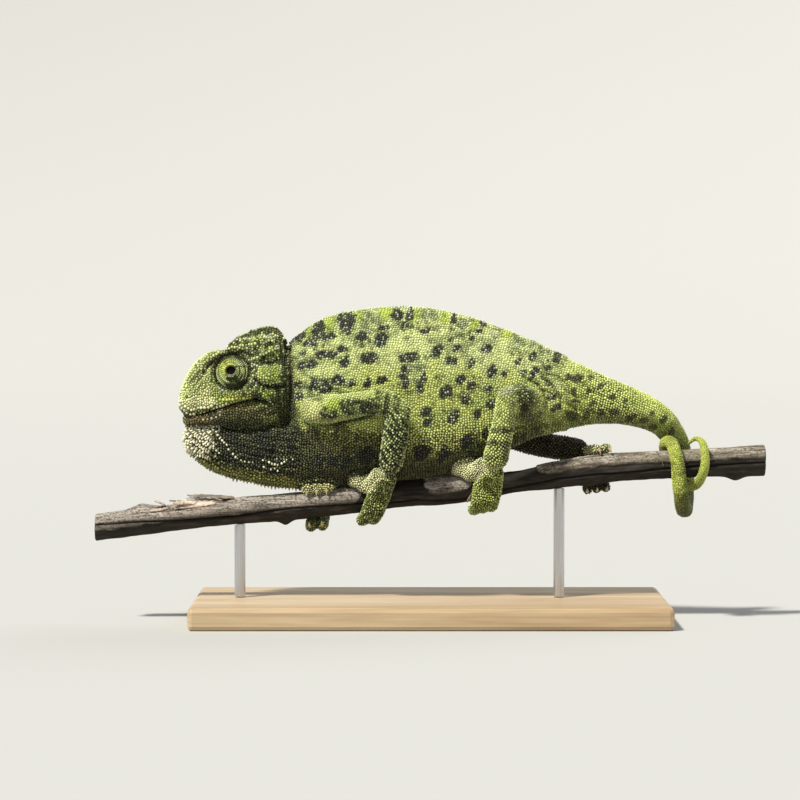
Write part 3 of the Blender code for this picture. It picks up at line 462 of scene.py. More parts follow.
# Creases of the shoulder, the arm, the hip and the belly:
# (depth, half width, side, farthest |y|, share of painted crease shade, line through (x, z))
BODY_FOLDS = (
    (-1.5, 0.8, -1, 21, 0.9, ((-47, 71.6), (-40, 70.4), (-33, 71.2), (-26, 72.8), (-18, 74.6))),
    (-0.45, 0.9, -1, 17, 0.2, ((-38, 82), (-30, 84.4), (-22, 84.8), (-12, 86.6))),
    (-0.7, 0.6, -1, 22, 0.9, ((7.4, 51.6), (8, 55.2), (10.4, 57.6), (14.6, 58.8), (18, 60.4))),
    (-0.7, 0.6, -1, 22, 0.9, ((-30.4, 48.8), (-30.2, 51.6), (-28.6, 53.6), (-24.6, 54.8), (-21, 56.4))),
    (-0.7, 0.8, -1, 14, 0.4, ((-47.4, 92), (-44.6, 88.4), (-40, 86.6), (-34, 86.2))),
    (-0.6, 0.7, -1, 14, 0.4, ((-47.8, 85), (-44, 83.6), (-38, 84.6))),
    (-0.5, 0.7, -1, 14, 0.3, ((-47, 69), (-44, 63), (-42, 57), (-42.5, 52))),
    (-0.5, 0.7, -1, 14, 0.3, ((-41.5, 69), (-38.6, 62), (-37.6, 56))),
    (-0.6, 0.6, -1, 14, 0.4, ((-7.6, 76), (-8.4, 70), (-7.8, 64))),
    (-1.1, 0.7, -1, 14, 0.6, ((32.6, 87.6), (37.5, 85.6), (41, 80.6), (41.5, 75.4))),
    (-1, 0.6, -1, 14, 0.6, ((38.4, 88.4), (43.4, 84.6), (46.6, 79), (46.4, 73.4))),
    (-0.9, 0.6, -1, 14, 0.6, ((44.6, 88.8), (49.6, 84), (52.2, 78.6), (52.4, 75))),
    (-0.8, 0.5, -1, 14, 0.6, ((39, 83.4), (43.6, 81.6), (45, 78))),
    (-0.8, 0.5, -1, 14, 0.6, ((46.4, 85.4), (50.4, 81.4), (57, 79.2))),
    (-0.8, 0.5, -1, 14, 0.6, ((48, 79.4), (52, 76), (60, 74.4))),
    (-0.7, 0.5, -1, 14, 0.5, ((52.6, 87), (57, 83), (62, 80.4))),
    (-0.7, 0.5, -1, 14, 0.5, ((36, 90.4), (41, 88.6), (46, 88.2))),
    (-1.4, 0.8, 1, 22, 0.8, ((-46, 68.6), (-38, 66.8), (-30, 66), (-20, 63.6))),
    (-0.7, 0.8, 1, 14, 0.4, ((-47.4, 92), (-44.6, 88.4), (-40, 86.6), (-34, 86.2))),
    (-0.9, 0.7, 1, 14, 0.5, ((33, 88), (37.5, 85.6), (41, 80.6), (41.5, 75.4))),
    (-0.8, 0.6, 1, 14, 0.5, ((38.4, 88), (43.4, 84.6), (46.6, 79), (46.4, 74))))
THROAT_PLEAT = 2.3
PLEAT_DEPTH = 0.40
# Soft webs: (x, y, z, radius)
JOIN_PLACES = (
    (-44, -8.5, 75, 7), (-44, 8.5, 72, 7), (37, -7, 76, 9), (40, 8, 72, 9), (-12, -19, 80, 5),
    (28, -17.5, 83, 5), (-18, 21.6, 67.6, 5), (27.5, 17.3, 65.6, 5), (-15.5, -12.2, 53, 5),
    (22, -12, 55, 5), (-38, 12.6, 51, 5), (58, 11, 60, 5), (-50, 0, 98, 12), (-49, 0, 72, 14))


def throat_share(points):
    """1 on the throat pouch and the skin below the jaw, falling to 0 at the neck and the jaw."""
    return (step(-44.5, -50.0, points[:, 0]) * step(72.0, 69.5, points[:, 2])
            * step(-90, -88.4, points[:, 0]))


def snout_ridges(flat):
    """The fine slanting ridges between the snout and the eye, from -1 to 1, and where they are."""
    return (np.cos(2 * np.pi * (0.74 * flat[:, 0] - 0.67 * flat[:, 1]) / 1.7),
            swell(flat, -82.5, 84.6, 3.0, 3.4))


def body_creases(points):
    """For each crease of the body: the points near it, their share of it, its depth and its share of painted
    shade.
    """
    flat = points[:, [0, 2]]
    for depth, width, side, reach, dark, line in BODY_FOLDS:
        sideways = points[:, 1] * side
        chosen = inside_box(flat, line, 3 * width)
        chosen = chosen[(sideways[chosen] > 2) & (sideways[chosen] < reach)]
        far, share = near_line(flat[chosen], line)
        yield chosen, bell(far, 0, width) * step(0, 0.15, share) * step(1, 0.85, share), depth, dark


def fold_push(points, normals):
    """How far each point of the bare skin moves out along its normal, in millimetres."""
    x, y, z = points.T
    push = np.zeros(len(points))
    head = (x < -46) & (z > 54)
    flat = points[head][:, [0, 2]]
    total = np.zeros(head.sum())
    for height, width, line in HEAD_FOLDS.values():
        far, share = near_line(flat, line)
        fade = step(0, 0.12, share) * step(1, 0.88, share) if height > 0 else 1.0
        total += height * bell(far, 0, width) * fade
    for cx, cz, rx, rz, height in HEAD_SWELLS.values():
        total += height * swell(flat, cx, cz, rx, rz)
    ring = np.hypot(*(flat - EYE_RING).T)
    total += 0.8 * bell(ring, 7.7, 1.0) - 1.2 * bell(ring, 6.3, 0.8)
    ridges, place = snout_ridges(flat)
    total -= 0.42 * ridges * place
    roof = step(0.1, 0.6, normals[head][:, 2]) * step(88, 94, flat[:, 1])
    rise = sum(high * bell(flat[:, 0], at, wide)
               for high, at, wide in ((0.55, -63.5, 6.0), (-2.2, -74.2, 2.2), (0.5, -69.0, 2.0)))
    push[head] = total * step(0.12, 0.5, np.abs(normals[head][:, 1])) + roof * rise
    for chosen, share, depth, _ in body_creases(points):
        push[chosen] += depth * share
    rise = z - smooth(THROAT, x, 2)
    push += PLEAT_DEPTH * throat_share(points) * np.cos(2 * np.pi * rise / THROAT_PLEAT)
    trunk = step(-49, -44, x) * step(54, 44, x) * (np.abs(y) < 14)
    ribs = np.sin(2 * np.pi * (x + 0.12 * z) / 9.5) * step(60, 70, z) * step(108, 98, z)
    push += 0.18 * trunk * ribs
    for route in digit_routes("right_hand_inner"):
        chosen = inside_box(points, route, 4.4)
        far = near_line(points[chosen], route)[0]
        push[chosen] = np.maximum(push[chosen], 0.9 * step(4.4, 3.2, far))
    return push + 0.16 * grain(points, 4.2, 2, 12.0)


def smooth_skin(obj, rounds, group=""):
    modifier = obj.modifiers.new("Even skin", "SMOOTH")
    modifier.factor = 0.5
    modifier.iterations = rounds
    modifier.vertex_group = group
    apply_modifiers(obj)


def make_bare_skin(inset, voxel):
    """All flesh in one closed mesh, its joins softened and its folds pressed in."""
    obj = add_object("skin", tubes_mesh("bare_skin", [tube[1] for tube in body_tubes(inset)]))
    remesh = obj.modifiers.new("One skin", "REMESH")
    remesh.mode = "VOXEL"
    remesh.voxel_size = voxel * MM
    apply_modifiers(obj)
    smooth_skin(obj, 5)
    points = shape_of(obj.data)[0]
    weights = np.zeros(len(points))
    for *place, radius in JOIN_PLACES:
        far = np.linalg.norm(points - place, axis=1)
        weights = np.maximum(weights, step(radius, radius * 0.45, far))
    group = obj.vertex_groups.new(name="joins")
    for level in range(1, 6):
        group.add(np.nonzero(np.round(weights * 5) == level)[0].tolist(), level / 5, "REPLACE")
    smooth_skin(obj, 14, "joins")
    obj.vertex_groups.clear()
    points, normals = shape_of(obj.data)
    points += normals * fold_push(points, normals)[:, None]
    obj.data.vertices.foreach_set("co", (points * MM).astype(np.float32).ravel())
    obj.data.update()
    smooth_skin(obj, 2)
    obj.data.shade_smooth()
    return obj


# ---- markings
# Marks of the flank as (x, z, half length, half height); each leans back as it rises
DARK_SPOTS = (
    (-47, 102.5, 2, 2), (-40, 104.5, 1.8, 3.4), (-37, 102, 2.4, 1.3), (-42.5, 99.5, 2.2, 1.1),
    (-32.5, 108.5, 1, 1.3), (-29.5, 107, 2.2, 3.4), (-24.6, 102, 1.9, 1.5), (-17.6, 101, 2, 2.2),
    (-16.6, 105.2, 1.7, 0.8), (-36.8, 95.8, 3.6, 1.3), (-31.4, 97.8, 1.8, 1.2), (-30.4, 93.4, 1.6, 2),
    (-45.6, 96.2, 1.2, 1), (-42.4, 92.2, 1.6, 1.5), (-45.8, 91.8, 1.1, 1), (-21.6, 94.6, 3, 1.8),
    (-7.2, 94.7, 2.9, 1.7), (-8.6, 85.5, 1.1, 2.1), (-9.6, 90, 0.9, 2.4), (-2.2, 87.1, 1, 1.9),
    (-3.7, 83.5, 1.1, 1.6), (-22.2, 85.8, 1.2, 1.6), (-17.2, 86.6, 1.8, 1.3), (-41.4, 84.6, 1.6, 1.7),
    (-47.4, 85, 1.3, 1.2), (-33, 86.6, 2, 1.6), (-27.8, 85.8, 1.2, 1.4), (-37.4, 83, 2.4, 2.6),
    (-29.8, 81.8, 1, 0.8), (-47, 80.8, 1.6, 1.2), (-40.6, 79.4, 0.9, 1.1), (-11.8, 109.6, 1.9, 1.6),
    (-7.4, 109.6, 1.2, 2.5), (-8.8, 106.2, 1.5, 1.1), (-1.9, 104, 1.4, 1), (8.6, 108.8, 1, 1.8),
    (7.4, 101, 0.9, 0.8), (19, 106.6, 1, 1.2), (17.8, 103.8, 1.1, 0.8), (15, 101.4, 0.9, 0.7),
    (2.4, 97, 1.8, 1.8), (7.6, 93.8, 2, 1.4), (9.6, 97.8, 1.5, 1.2), (14.8, 92.8, 1, 1.5),
    (19.8, 97.6, 1.7, 1.6), (22, 89.4, 1.5, 1.9), (26.4, 89, 1, 1.2), (10.8, 86.8, 1.5, 1.4),
    (14.6, 85, 1.5, 1.5), (5.8, 82.6, 2, 1.9), (12.8, 79.8, 1.5, 1.7), (21, 83.6, 1.2, 1.3),
    (21.6, 77.6, 1.4, 1.8), (8.4, 73.4, 1.7, 2.5), (16.6, 74.2, 1.2, 1.9), (-1.6, 75.4, 1.6, 1.8),
    (-0.8, 72, 1.4, 1.2), (19.6, 68, 1, 1.6), (13, 64.8, 1.9, 2.2), (36.6, 94.8, 1.2, 1.2),
    (31.2, 92.8, 1.1, 1.1), (65.1, 80.3, 1, 0.8), (77, 71.9, 1.7, 1), (80.4, 69.4, 1.2, 1.2),
    (84.2, 72, 1, 1.4), (79.8, 74.4, 0.9, 0.7), (87.2, 67.4, 1, 1.6), (70.5, 79, 0.8, 0.6),
    (57.6, 87.4, 0.9, 0.7), (33, 89.4, 1.3, 1.1), (37.4, 89.6, 1.1, 1.4), (42.4, 90.6, 1.5, 0.8),
    (49.6, 87.6, 0.8, 1), (42.6, 85.4, 1.1, 0.8), (51.6, 82.8, 0.9, 1.4), (56.6, 82.2, 1.1, 1.2),
    (52.2, 79, 1.5, 0.6), (58.4, 78.2, 0.9, 1), (43.6, 80.6, 1.3, 1.2), (44.8, 76.6, 1.4, 1.2),
    (51, 74, 2.2, 1.5), (56.2, 74.2, 1.2, 1.3), (61.4, 74.8, 1.2, 1.2), (66, 75, 1.8, 1.1),
    (72, 73, 1.8, 1.1), (-23, 60, 2.9, 2.9), (-40, 58, 1.8, 1.8), (-35, 57, 1.8, 1.8), (-30, 57, 1.8, 1.8),
    (-3, 61, 2.5, 3), (5, 60, 1.8, 2.6), (14, 59, 1.4, 2.2))
GREY_SPOTS = (
    (-21, 107.5, 2.6, 3.6), (-21.6, 104, 1.9, 0.9), (-1.4, 110, 1.4, 2.4), (1.4, 110, 1.4, 1.8),
    (3.2, 105.4, 1.8, 0.9), (12.2, 106.6, 1.4, 2), (23.4, 103.4, 1.4, 2.2), (32.4, 102, 2, 2.4),
    (37, 99, 1.2, 1.2), (31.4, 97.8, 1.2, 0.8), (41.4, 96.2, 1.4, 1), (45.6, 94.6, 1.4, 2),
    (52.6, 87, 1.8, 1.4), (60.8, 84, 0.8, 1.1), (-44.4, 93, 3, 2), (-43.6, 82.6, 4, 3.8), (-38, 84, 5, 2.6),
    (-41.6, 86.2, 2.6, 1.4), (-31.6, 85.4, 2.4, 1.4), (-6, 89.4, 3.4, 3.6), (-8.2, 101.6, 0.8, 0.8))
# Clouded darker places of the flank, and the pale folds between them, partly pale skin and partly a painted
# highlight on the folds' ridges
DARK_ZONES = (
    (-42, 102, 7.5, 3.6), (-45.2, 93.6, 4, 3.6), (-35.6, 95.6, 6.6, 2.8), (-21.5, 101.6, 5.6, 3),
    (-38.4, 83.2, 9.6, 4.4), (-28, 107, 8, 4.2), (-4, 108, 7.5, 3.4), (-6.6, 87.5, 4.2, 6.4),
    (12, 104.4, 5, 3.6), (34, 99, 6, 4), (45.6, 92, 5, 4), (10, 84.4, 8.4, 4.8), (3, 74, 6, 3.6),
    (19, 80, 4, 6), (40, 88, 4.6, 3.4), (54, 84.6, 5, 4))
PALE_AND_LIT_FOLDS = (
    (-40.6, 90.2, 8, 2.6), (-33.4, 101.2, 3.2, 3.6), (-12, 97.4, 8, 4), (27, 96.6, 6, 3.6),
    (45, 84.2, 4, 1.1), (50.6, 80.6, 4.6, 1.2), (42.8, 78.6, 2.4, 1), (57.6, 76.8, 4, 0.9),
    (38.4, 86.8, 2.6, 1), (48, 88.6, 3.4, 1.2))
BRIGHT_PATCHES = (
    (-36.3, 106.3, 2.2, 2.6), (-26.2, 109.2, 1.8, 2.2), (-16, 110, 2.6, 2.4), (-5, 110, 1.4, 2.2),
    (-44, 103.6, 1.2, 1.4), (5.5, 108.6, 1.6, 2), (16, 106, 1.6, 1.8), (28, 103.4, 2, 1.8))
SPOT_LEAN = 0.22
NO_SCALE = 0.5             # the random share of a point that belongs to no scale
# Patches of the head, jaw and throat: (x, z, half length, half height, strength, tone)
# Among the head's patches, the dark and brown strips in the brow, cheek, temple and neck grooves and the dark
# nostril are painted shade; the pale strip along the brow crest is partly a painted highlight, and the pale
# upper lip is partly painted light.
HEAD_PATCHES = (
    (-84.5, 87, 6.8, 9, 1, "snout_green"), (-71, 99.6, 9, 1.8, 0.8, "snout_green"),
    (-56.6, 103.4, 3.6, 2.2, 0.7, "snout_green"), (-61, 95.6, 2.2, 1.6, 0.6, "pale_green"),
    (-77.6, 87, 1.5, 2.4, 0.6, "mid_green"), (-78, 91.6, 0.9, 1.8, 0.5, "olive_shade"),
    (-80.6, 82.6, 2.2, 0.9, 0.45, "pale_grey"), (-74.8, 83.2, 2.4, 0.9, 0.5, "pale_grey"),
    (-70.2, 97.2, 3.6, 0.9, 0.9, "brown"), (-65.2, 96.8, 1.8, 1.2, 0.85, "grey"),
    (-62.9, 98.4, 1.2, 1, 0.8, "grey"), (-58.6, 99.2, 2.4, 0.9, 0.9, "grey"),
    (-68, 102, 3.4, 0.7, 0.55, "olive_shade"), (-62, 103.6, 2.2, 0.7, 0.5, "olive_shade"),
    (-57.6, 97.8, 1.8, 1, 0.8, "fresh_green"), (-61.4, 101.2, 1.3, 0.8, 0.8, "fresh_green"),
    (-57.7, 94, 1.8, 0.8, 0.9, "mid_green"), (-62.6, 94.4, 1.2, 0.8, 0.7, "dark"),
    (-62.4, 92.2, 1.8, 1, 0.8, "pale_grey"), (-66.6, 93.4, 1.4, 0.8, 0.6, "pale_green"),
    (-62.4, 89.2, 2.4, 1.8, 0.8, "snout_green"), (-56, 88.4, 4.4, 2.5, 0.95, "fresh_green"),
    (-53, 87.6, 1.4, 1.6, 0.7, "mid_green"), (-63.2, 86, 1.7, 1.5, 0.8, "pale_grey"),
    (-57, 84.4, 4.2, 1, 0.95, "dark"), (-57.6, 81.9, 3.4, 1.5, 0.9, "fresh_green"),
    (-54.2, 81, 1.2, 1, 0.7, "fresh_green"), (-62.3, 81.2, 1.7, 1.5, 0.9, "brown_dark"),
    (-65.2, 83.6, 1.5, 1, 0.7, "pale_green"), (-69, 82.3, 2.6, 0.8, 0.6, "mid_green"),
    (-71.4, 80.1, 2.6, 1.1, 0.95, "lip_yellow"), (-67, 80.8, 2.4, 0.8, 0.6, "lip_yellow"),
    (-83, 78, 7.4, 2.6, 0.9, "lip_pale"), (-87, 80.4, 0.9, 0.6, 0.8, "dark"),
    (-76.8, 76.9, 1.5, 1.1, 0.5, "brown_dark"), (-64.4, 80.4, 1.8, 0.8, 0.7, "lip_brown"),
    (-51.4, 90, 1.8, 13, 0.95, "dark"), (-53.2, 96.6, 0.7, 2.6, 0.8, "pale_green"),
    (-50.9, 92.6, 0.6, 1.4, 0.7, "pale_grey"), (-70.6, 100.4, 2.6, 0.7, 0.7, "olive_shade"),
    (-64.6, 102, 2, 0.8, 0.7, "grey"), (-57.6, 102, 1.8, 0.9, 0.6, "pale_grey"),
    (-54.6, 100.2, 0.9, 2, 0.6, "olive_shade"), (-60.6, 97.3, 1.6, 0.6, 0.7, "grey"),
    (-83.8, 91.2, 0.35, 0.6, 0.9, "dark"), (-82.6, 93, 0.35, 0.5, 0.9, "dark"),
    (-84.8, 88.2, 0.4, 0.6, 0.8, "dark"), (-86.2, 86.4, 0.35, 0.6, 0.8, "dark"),
    (-79.9, 93, 0.35, 0.5, 0.8, "dark"), (-80.9, 89.4, 0.7, 0.6, 1, "dark"))
JAW_PATCHES = (
    (-84, 72, 6, 2.4, 1, "lip_brown"), (-70.5, 76.8, 7, 1.5, 0.7, "lip_brown"),
    (-87.8, 74.6, 1.4, 1.2, 0.8, "lip_brown"), (-76, 76.4, 2.2, 1.3, 0.8, "lip_cream"),
    (-67.4, 79, 3, 0.7, 0.6, "lip_brown"), (-57.6, 77.4, 1.6, 2, 0.5, "throat_olive_and_shade"),
    (-62.6, 77.2, 2.4, 1.2, 0.5, "olive_light"), (-56.4, 72.2, 3, 1.2, 0.5, "olive_light"))
THROAT_PATCHES = (
    (-71.8, 59.4, 2, 2, 0.9, "purple_dark"), (-62, 59.6, 2.4, 1.2, 0.9, "purple_dark"),
    (-57.6, 61.4, 2.6, 1.6, 0.9, "purple_dark"), (-49.6, 62.6, 1.5, 1.6, 0.9, "purple_dark"),
    (-71.6, 66, 2.2, 2, 0.85, "purple_dark"), (-60.4, 65.8, 2.4, 1.6, 0.9, "purple_dark"),
    (-67, 62, 2.2, 0.9, 0.6, "purple_dark"), (-53.6, 66.6, 1.4, 1.4, 0.6, "purple_dark"),
    (-56.5, 54.3, 1.4, 1, 0.7, "purple_dark"), (-62.4, 52.8, 1.8, 1.4, 0.6, "purple_dark"),
    (-68.8, 54.2, 2.2, 1.2, 0.6, "purple_dark"), (-66, 69.4, 3.6, 0.6, 0.4, "olive_light"))
# The same for the arms and legs on the left side; the dark patches on the thigh are painted shade
LIMB_PATCHES = (
    (-43, 75.6, 4.6, 4, 0.95, "shoulder"), (-35.8, 75.4, 3.2, 2.2, 0.95, "limb_dark"),
    (-33.9, 78, 2.8, 2, 0.85, "fresh_green"), (-27, 77.8, 4.8, 2.8, 0.95, "limb_dark"),
    (-20.8, 77.6, 3.4, 3.6, 0.95, "limb_dark"), (-29.6, 73.2, 3.4, 0.9, 0.7, "arm_green"),
    (-25.4, 81.8, 5.6, 1.4, 0.85, "arm_green"), (-18.4, 81.6, 1.2, 1.8, 0.8, "limb_dark"),
    (-15.4, 78.6, 1, 3.4, 0.8, "limb_dark"), (-12, 79.4, 1, 3.6, 0.8, "limb_dark"),
    (-9.4, 76.6, 1.2, 3, 0.6, "arm_green"), (-13.4, 83.2, 3.2, 1, 0.7, "arm_green"),
    (-41, 80.2, 3, 0.9, 0.6, "limb_dark"), (-17.6, 72.4, 1.4, 3.4, 0.6, "limb_dark"),
    (25.6, 69, 3.8, 1, 0.8, "limb_dark"), (24, 64.2, 3.8, 1.2, 0.7, "limb_dark"),
    (28.6, 78.6, 1.6, 1.2, 0.5, "limb_dark"), (24.6, 75, 1, 1.2, 0.5, "limb_dark"),
    (26.8, 83, 2.6, 1.6, 0.6, "pale_grey"), (28.8, 73, 1.2, 4, 0.5, "limb_dark"),
    (26.6, 60, 1.4, 4, 0.6, "limb_dark"), (21.8, 59.4, 3, 0.9, 0.5, "limb_dark"),
    (33.4, 80.4, 2.6, 3.4, 0.95, "thigh_painted_shade"), (33.8, 73.6, 2.4, 5, 0.9, "thigh_painted_shade"),
    (38.6, 72.6, 2, 3, 0.6, "thigh_painted_shade"))
# Tone of each arm, leg and bundle of toes, how strong its dark bands are, and its share of pale scales; the
# far leg's tone is painted shade, the thighs' olive partly painted shade, and the pale scales partly painted
# highlights
LIMB_TONES = {
    "left_upper_arm": ("arm_green", 0.3, 0.1), "left_forearm": ("arm_shade", 0.4, 0.2),
    "right_upper_arm": ("arm_shade", 0.4, 0.2), "right_forearm": ("arm_shade", 0.4, 0.2),
    "left_thigh": ("thigh_olive_and_shade", 0.2, 0.2), "left_shank": ("shank_green", 0.25, 0.15),
    "right_thigh": ("thigh_olive_and_shade", 0.4, 0), "right_shank": ("far_leg_shade", 0.4, 0),
    "left_hand_outer": ("hand_olive", 0.45, 0.18), "left_hand_inner": ("toe_cream", 0.1, 0),
    "right_hand_outer": ("hand_olive", 0.5, 0.1), "right_hand_inner": ("toe_pale", 0.05, 0),
    "left_foot_outer": ("foot_green", 0.35, 0.2), "left_foot_inner": ("toe_cream", 0.08, 0),
    "right_foot_outer": ("far_leg_shade", 0.4, 0), "right_foot_inner": ("toe_pale", 0.2, 0)}
# Where the pale soles of two bundles of toes end towards the belly, along x
PALE_ENDS = {"left_foot_inner": 8.2, "left_hand_inner": -29}
TONES = {
    "back_green": (222, 231, 166), "flank_yellow": (208, 217, 128), "belly_olive_and_shade": (120, 122, 68),
    "belly_dark_and_shade": (62, 64, 38), "spot": (42, 43, 42), "spot_grey": (132, 144, 100),
    "spot_pale_and_glint": (196, 204, 174), "zone_green": (134, 148, 84), "cream": (244, 240, 206),
    "lip_yellow": (228, 234, 118), "lip_pale": (252, 252, 196), "lip_brown": (122, 110, 68),
    "lip_cream": (222, 212, 180), "brown": (92, 88, 44), "brown_dark": (62, 48, 34),
    "grey": (132, 134, 116), "pale_grey": (210, 212, 186), "dark": (40, 42, 22),
    "fresh_green": (182, 204, 84), "mid_green": (150, 164, 86), "bright_green": (196, 214, 92),
    "pale_green": (224, 234, 166), "snout_green": (222, 232, 160), "casque_green": (188, 202, 122),
    "casque_dark": (68, 76, 44), "olive_shade": (100, 108, 54), "olive_light": (142, 146, 88),
    "throat_olive_and_shade": (68, 74, 44), "throat_edge": (164, 164, 88), "neck_olive_and_shade": (72, 78, 44),
    "purple_dark": (30, 29, 35), "jaw_olive": (84, 86, 46), "arm_green": (216, 230, 144),
    "shoulder": (242, 246, 178), "arm_shade": (88, 102, 52), "far_leg_shade": (88, 82, 58),
    "limb_dark": (34, 42, 24), "limb_pale_and_glint": (226, 236, 170), "thigh_olive_and_shade": (132, 142, 84),
    "thigh_painted_shade": (60, 66, 32), "shank_green": (224, 238, 144), "hand_olive": (140, 152, 74),
    "foot_green": (182, 198, 92), "toe_cream": (246, 246, 190), "toe_pale": (232, 230, 166),
    "tail_green": (210, 226, 120), "tail_light": (238, 250, 146), "tail_yellow": (196, 206, 96),
    "tail_olive": (84, 90, 32), "lid_dark_and_shade": (52, 62, 24), "lid_bright_and_lit": (232, 240, 112), "pupil": (3, 3, 4),
    "eye_gold": (130, 112, 52), "eye_brown": (40, 32, 20), "bare_wood_and_shadow": (48, 44, 38),
    "worn_wood": (74, 68, 58), "wood_shade_below": (40, 37, 30), "cut_wood": (150, 132, 104),
    "torn_wood": (190, 152, 128), "torn_hollow_shade": (46, 36, 28), "split_shade": (16, 15, 13),
    "bark_lilac": (178, 168, 156), "bark_rear": (158, 147, 128), "bark_light": (206, 196, 184),
    "bark_pore": (84, 76, 68), "bark_fibre": (88, 80, 72), "bark_shade_below": (64, 58, 50),
    "splinter_grey": (158, 146, 128), "splinter_pink": (224, 204, 184)}
PALETTE = {name: np.array(paint(*tone)) for name, tone in TONES.items()}


def plain(tone, count):
    return np.tile(PALETTE[tone], (count, 1))


def lay(colours, *layers):
    """The colours with each (share, tone) laid over them in turn."""
    for share, tone in layers:
        share = np.clip(share, 0, 1)[:, None]
        colours = colours * (1 - share) + PALETTE[tone] * share
    return colours


def blob(x, z, cx, cz, rx, rz, wobble):
    """1 inside a rounded mark with a ragged edge, 0 outside it."""
    return step(1.40, 0.80, np.hypot((x - cx) / rx, (z - cz) / rz) + 0.42 * wobble)


def ragged(share, speck):
    """A soft share made nearly sharp, its edge running along whole scales."""
    return step(0.28, 0.72, share + 0.60 * (speck - 0.5))


def brightness(colours):
    return colours @ np.array([0.3, 0.6, 0.1])


def lot(speck, factor):
    """Another random share of the same scale."""
    return speck * factor % 1.0


def patches(colours, table, inside, x, z, wobble, speck):
    for cx, cz, rx, rz, strength, name in table:
        near = np.nonzero((np.abs(x - cx) < 1.7 * rx) & (np.abs(z - cz) < 1.7 * rz))[0]
        share = ragged(blob(x[near], z[near], cx, cz, rx, rz, wobble[near]), speck[near])
        colours[near] = lay(colours[near], (strength * inside[near] * share, name))
    return colours


def spot_share(x, z, table, wobble, speck, grow=1.06):
    """How much each point lies in any of a table's leaning marks."""
    out = np.zeros(len(x))
    for cx, cz, rx, rz in table:
        near = np.nonzero((np.abs(x - cx) < 2 * grow * rx + 1.5) & (np.abs(z - cz) < 1.7 * grow * rz))[0]
        lean = SPOT_LEAN * (z[near] - cz)
        share = blob(x[near] - lean, z[near], cx, cz, rx * grow, rz * grow, wobble[near])
        out[near] = np.maximum(out[near], ragged(share, 0.5 + 1.5 * (speck[near] - 0.5)))
    return out


def mark_colours(points, normals, speck):
    """Colour of the animal at each point, shared by the skin and the scales, with painted shade and painted
    highlights laid in.

    speck is one random share for each scale, which makes the marks follow whole scales.
    """
    x, y, z = points.T
    wobble, slow, fine = grain(points, 2.4, 3), grain(points, 9.0, 2, 40.0), grain(points, 1.7, 1, 25.0)
    top, bottom = smooth(TRUNK, x, 1), smooth(TRUNK, x, 2)
    height = (z - bottom) / (top - bottom)
    # Belly: olive below the flank, reaching higher under the arm at the front, and a darker band next to the
    # perch; partly the belly's own olive, partly painted shade. dots are dark spots of the skin.
    front = step(-8, -34, x)
    belly = step(0.31 + 0.08 * front, 0.07 + 0.24 * front, height + 0.08 * slow) * step(46, 36, x)
    low = step(0.20, 0.05, height - 0.10 * front) * step(36, 26, x) * (0.72 + 0.28 * front)
    dots = ragged(step(0.16, 0.34, grain(points * [1, 1, 0.8], 2.7, 1, 64.0)), speck)
    mottle = step(0.12, 0.5, fine + 0.6 * (speck - 0.5)) * step(0.35, 0.6, height)
    cloud = ragged(step(0.14, 0.34, grain(points, 4.6, 2, 77.0)), speck) * step(0.60, 0.76, height)
    colours = lay(plain("back_green", len(points)),
                  (step(0.78, 0.50, height + 0.16 * slow), "flank_yellow"),
                  (0.95 * ragged(belly, speck), "belly_olive_and_shade"), (0.9 * low, "belly_dark_and_shade"),
                  (0.75 * dots * belly, "belly_dark_and_shade"), (0.35 * mottle, "spot_grey"),
                  (0.55 * cloud, "spot_grey"))

    side = np.where(y < 0, 0.0, 1.0)
    shift_x = x + side * (2.6 * np.sin(z * 0.31) + 3.0)
    shift_z = z + side * (2.2 * np.sin(x * 0.23 + 1.0))
    bright, pale, zone, grey, dark = (
        spot_share(shift_x, shift_z, table, wobble, speck)
        for table in (BRIGHT_PATCHES, PALE_AND_LIT_FOLDS, DARK_ZONES, GREY_SPOTS, DARK_SPOTS))
    halo = spot_share(shift_x, shift_z, DARK_SPOTS, wobble, speck, 1.5)
    clump = ragged(step(-0.22, 0.30, fine + 0.5 * wobble), speck)
    specks = ragged(step(0.22, 0.55, fine + 0.3 * wobble), speck)
    # Single pale scales in the dark and grey marks: partly pale scales, partly painted glints on dark scales.
    glint_scales = step(0.66, 0.76, lot(speck, 7.3)) * (speck != NO_SCALE)
    colours = lay(colours, (0.85 * bright, "bright_green"), (0.5 * pale, "pale_green"),
                  ((0.22 + 0.50 * clump) * zone, "zone_green"), (0.55 * zone * specks, "spot"),
                  (0.38 * halo * step(-0.4, 0.2, fine), "zone_green"),
                  (0.85 * grey * step(-0.5, 0.1, fine), "spot_grey"), (0.94 * dark, "spot"),
                  (0.68 * glint_scales * np.maximum(dark, grey) * step(0.2, 0.35, height), "spot_pale_and_glint"))
    # Painted shade in the body's creases, darkest in the crease under the arm.
    for chosen, share, _, shade in body_creases(points):
        colours[chosen] = lay(colours[chosen], (shade * share, "limb_dark"))
    colours = tail_colours(colours, points, normals, wobble, speck)
    colours, limbs = limb_colours(colours, points, normals, fine, wobble, speck)
    # Painted shade in the neck fold behind the head.
    neck = np.nonzero((x > -57) & (x < -44) & (z > 66))[0]
    far = near_line(points[neck][:, [0, 2]], HEAD_FOLDS["neck_fold"][2])[0]
    groove = 0.92 * bell(far + 0.4 * wobble[neck], 0, 2.0) * step(67, 72, z[neck])
    colours[neck] = lay(colours[neck], (groove * (1 - limbs[neck]), "dark"))
    head = step(-50.4, -51.6, x) * step(69.0, 71.5, z) * (1 - limbs)
    colours = head_colours(colours, head, x, z, wobble, fine, speck)
    colours = throat_colours(colours, 1 - limbs, points, wobble, speck)
    # Faces turned downwards are darkened: painted shade.
    return colours * (1 - 0.35 * step(-0.1, -0.8, normals[:, 2]))[:, None]


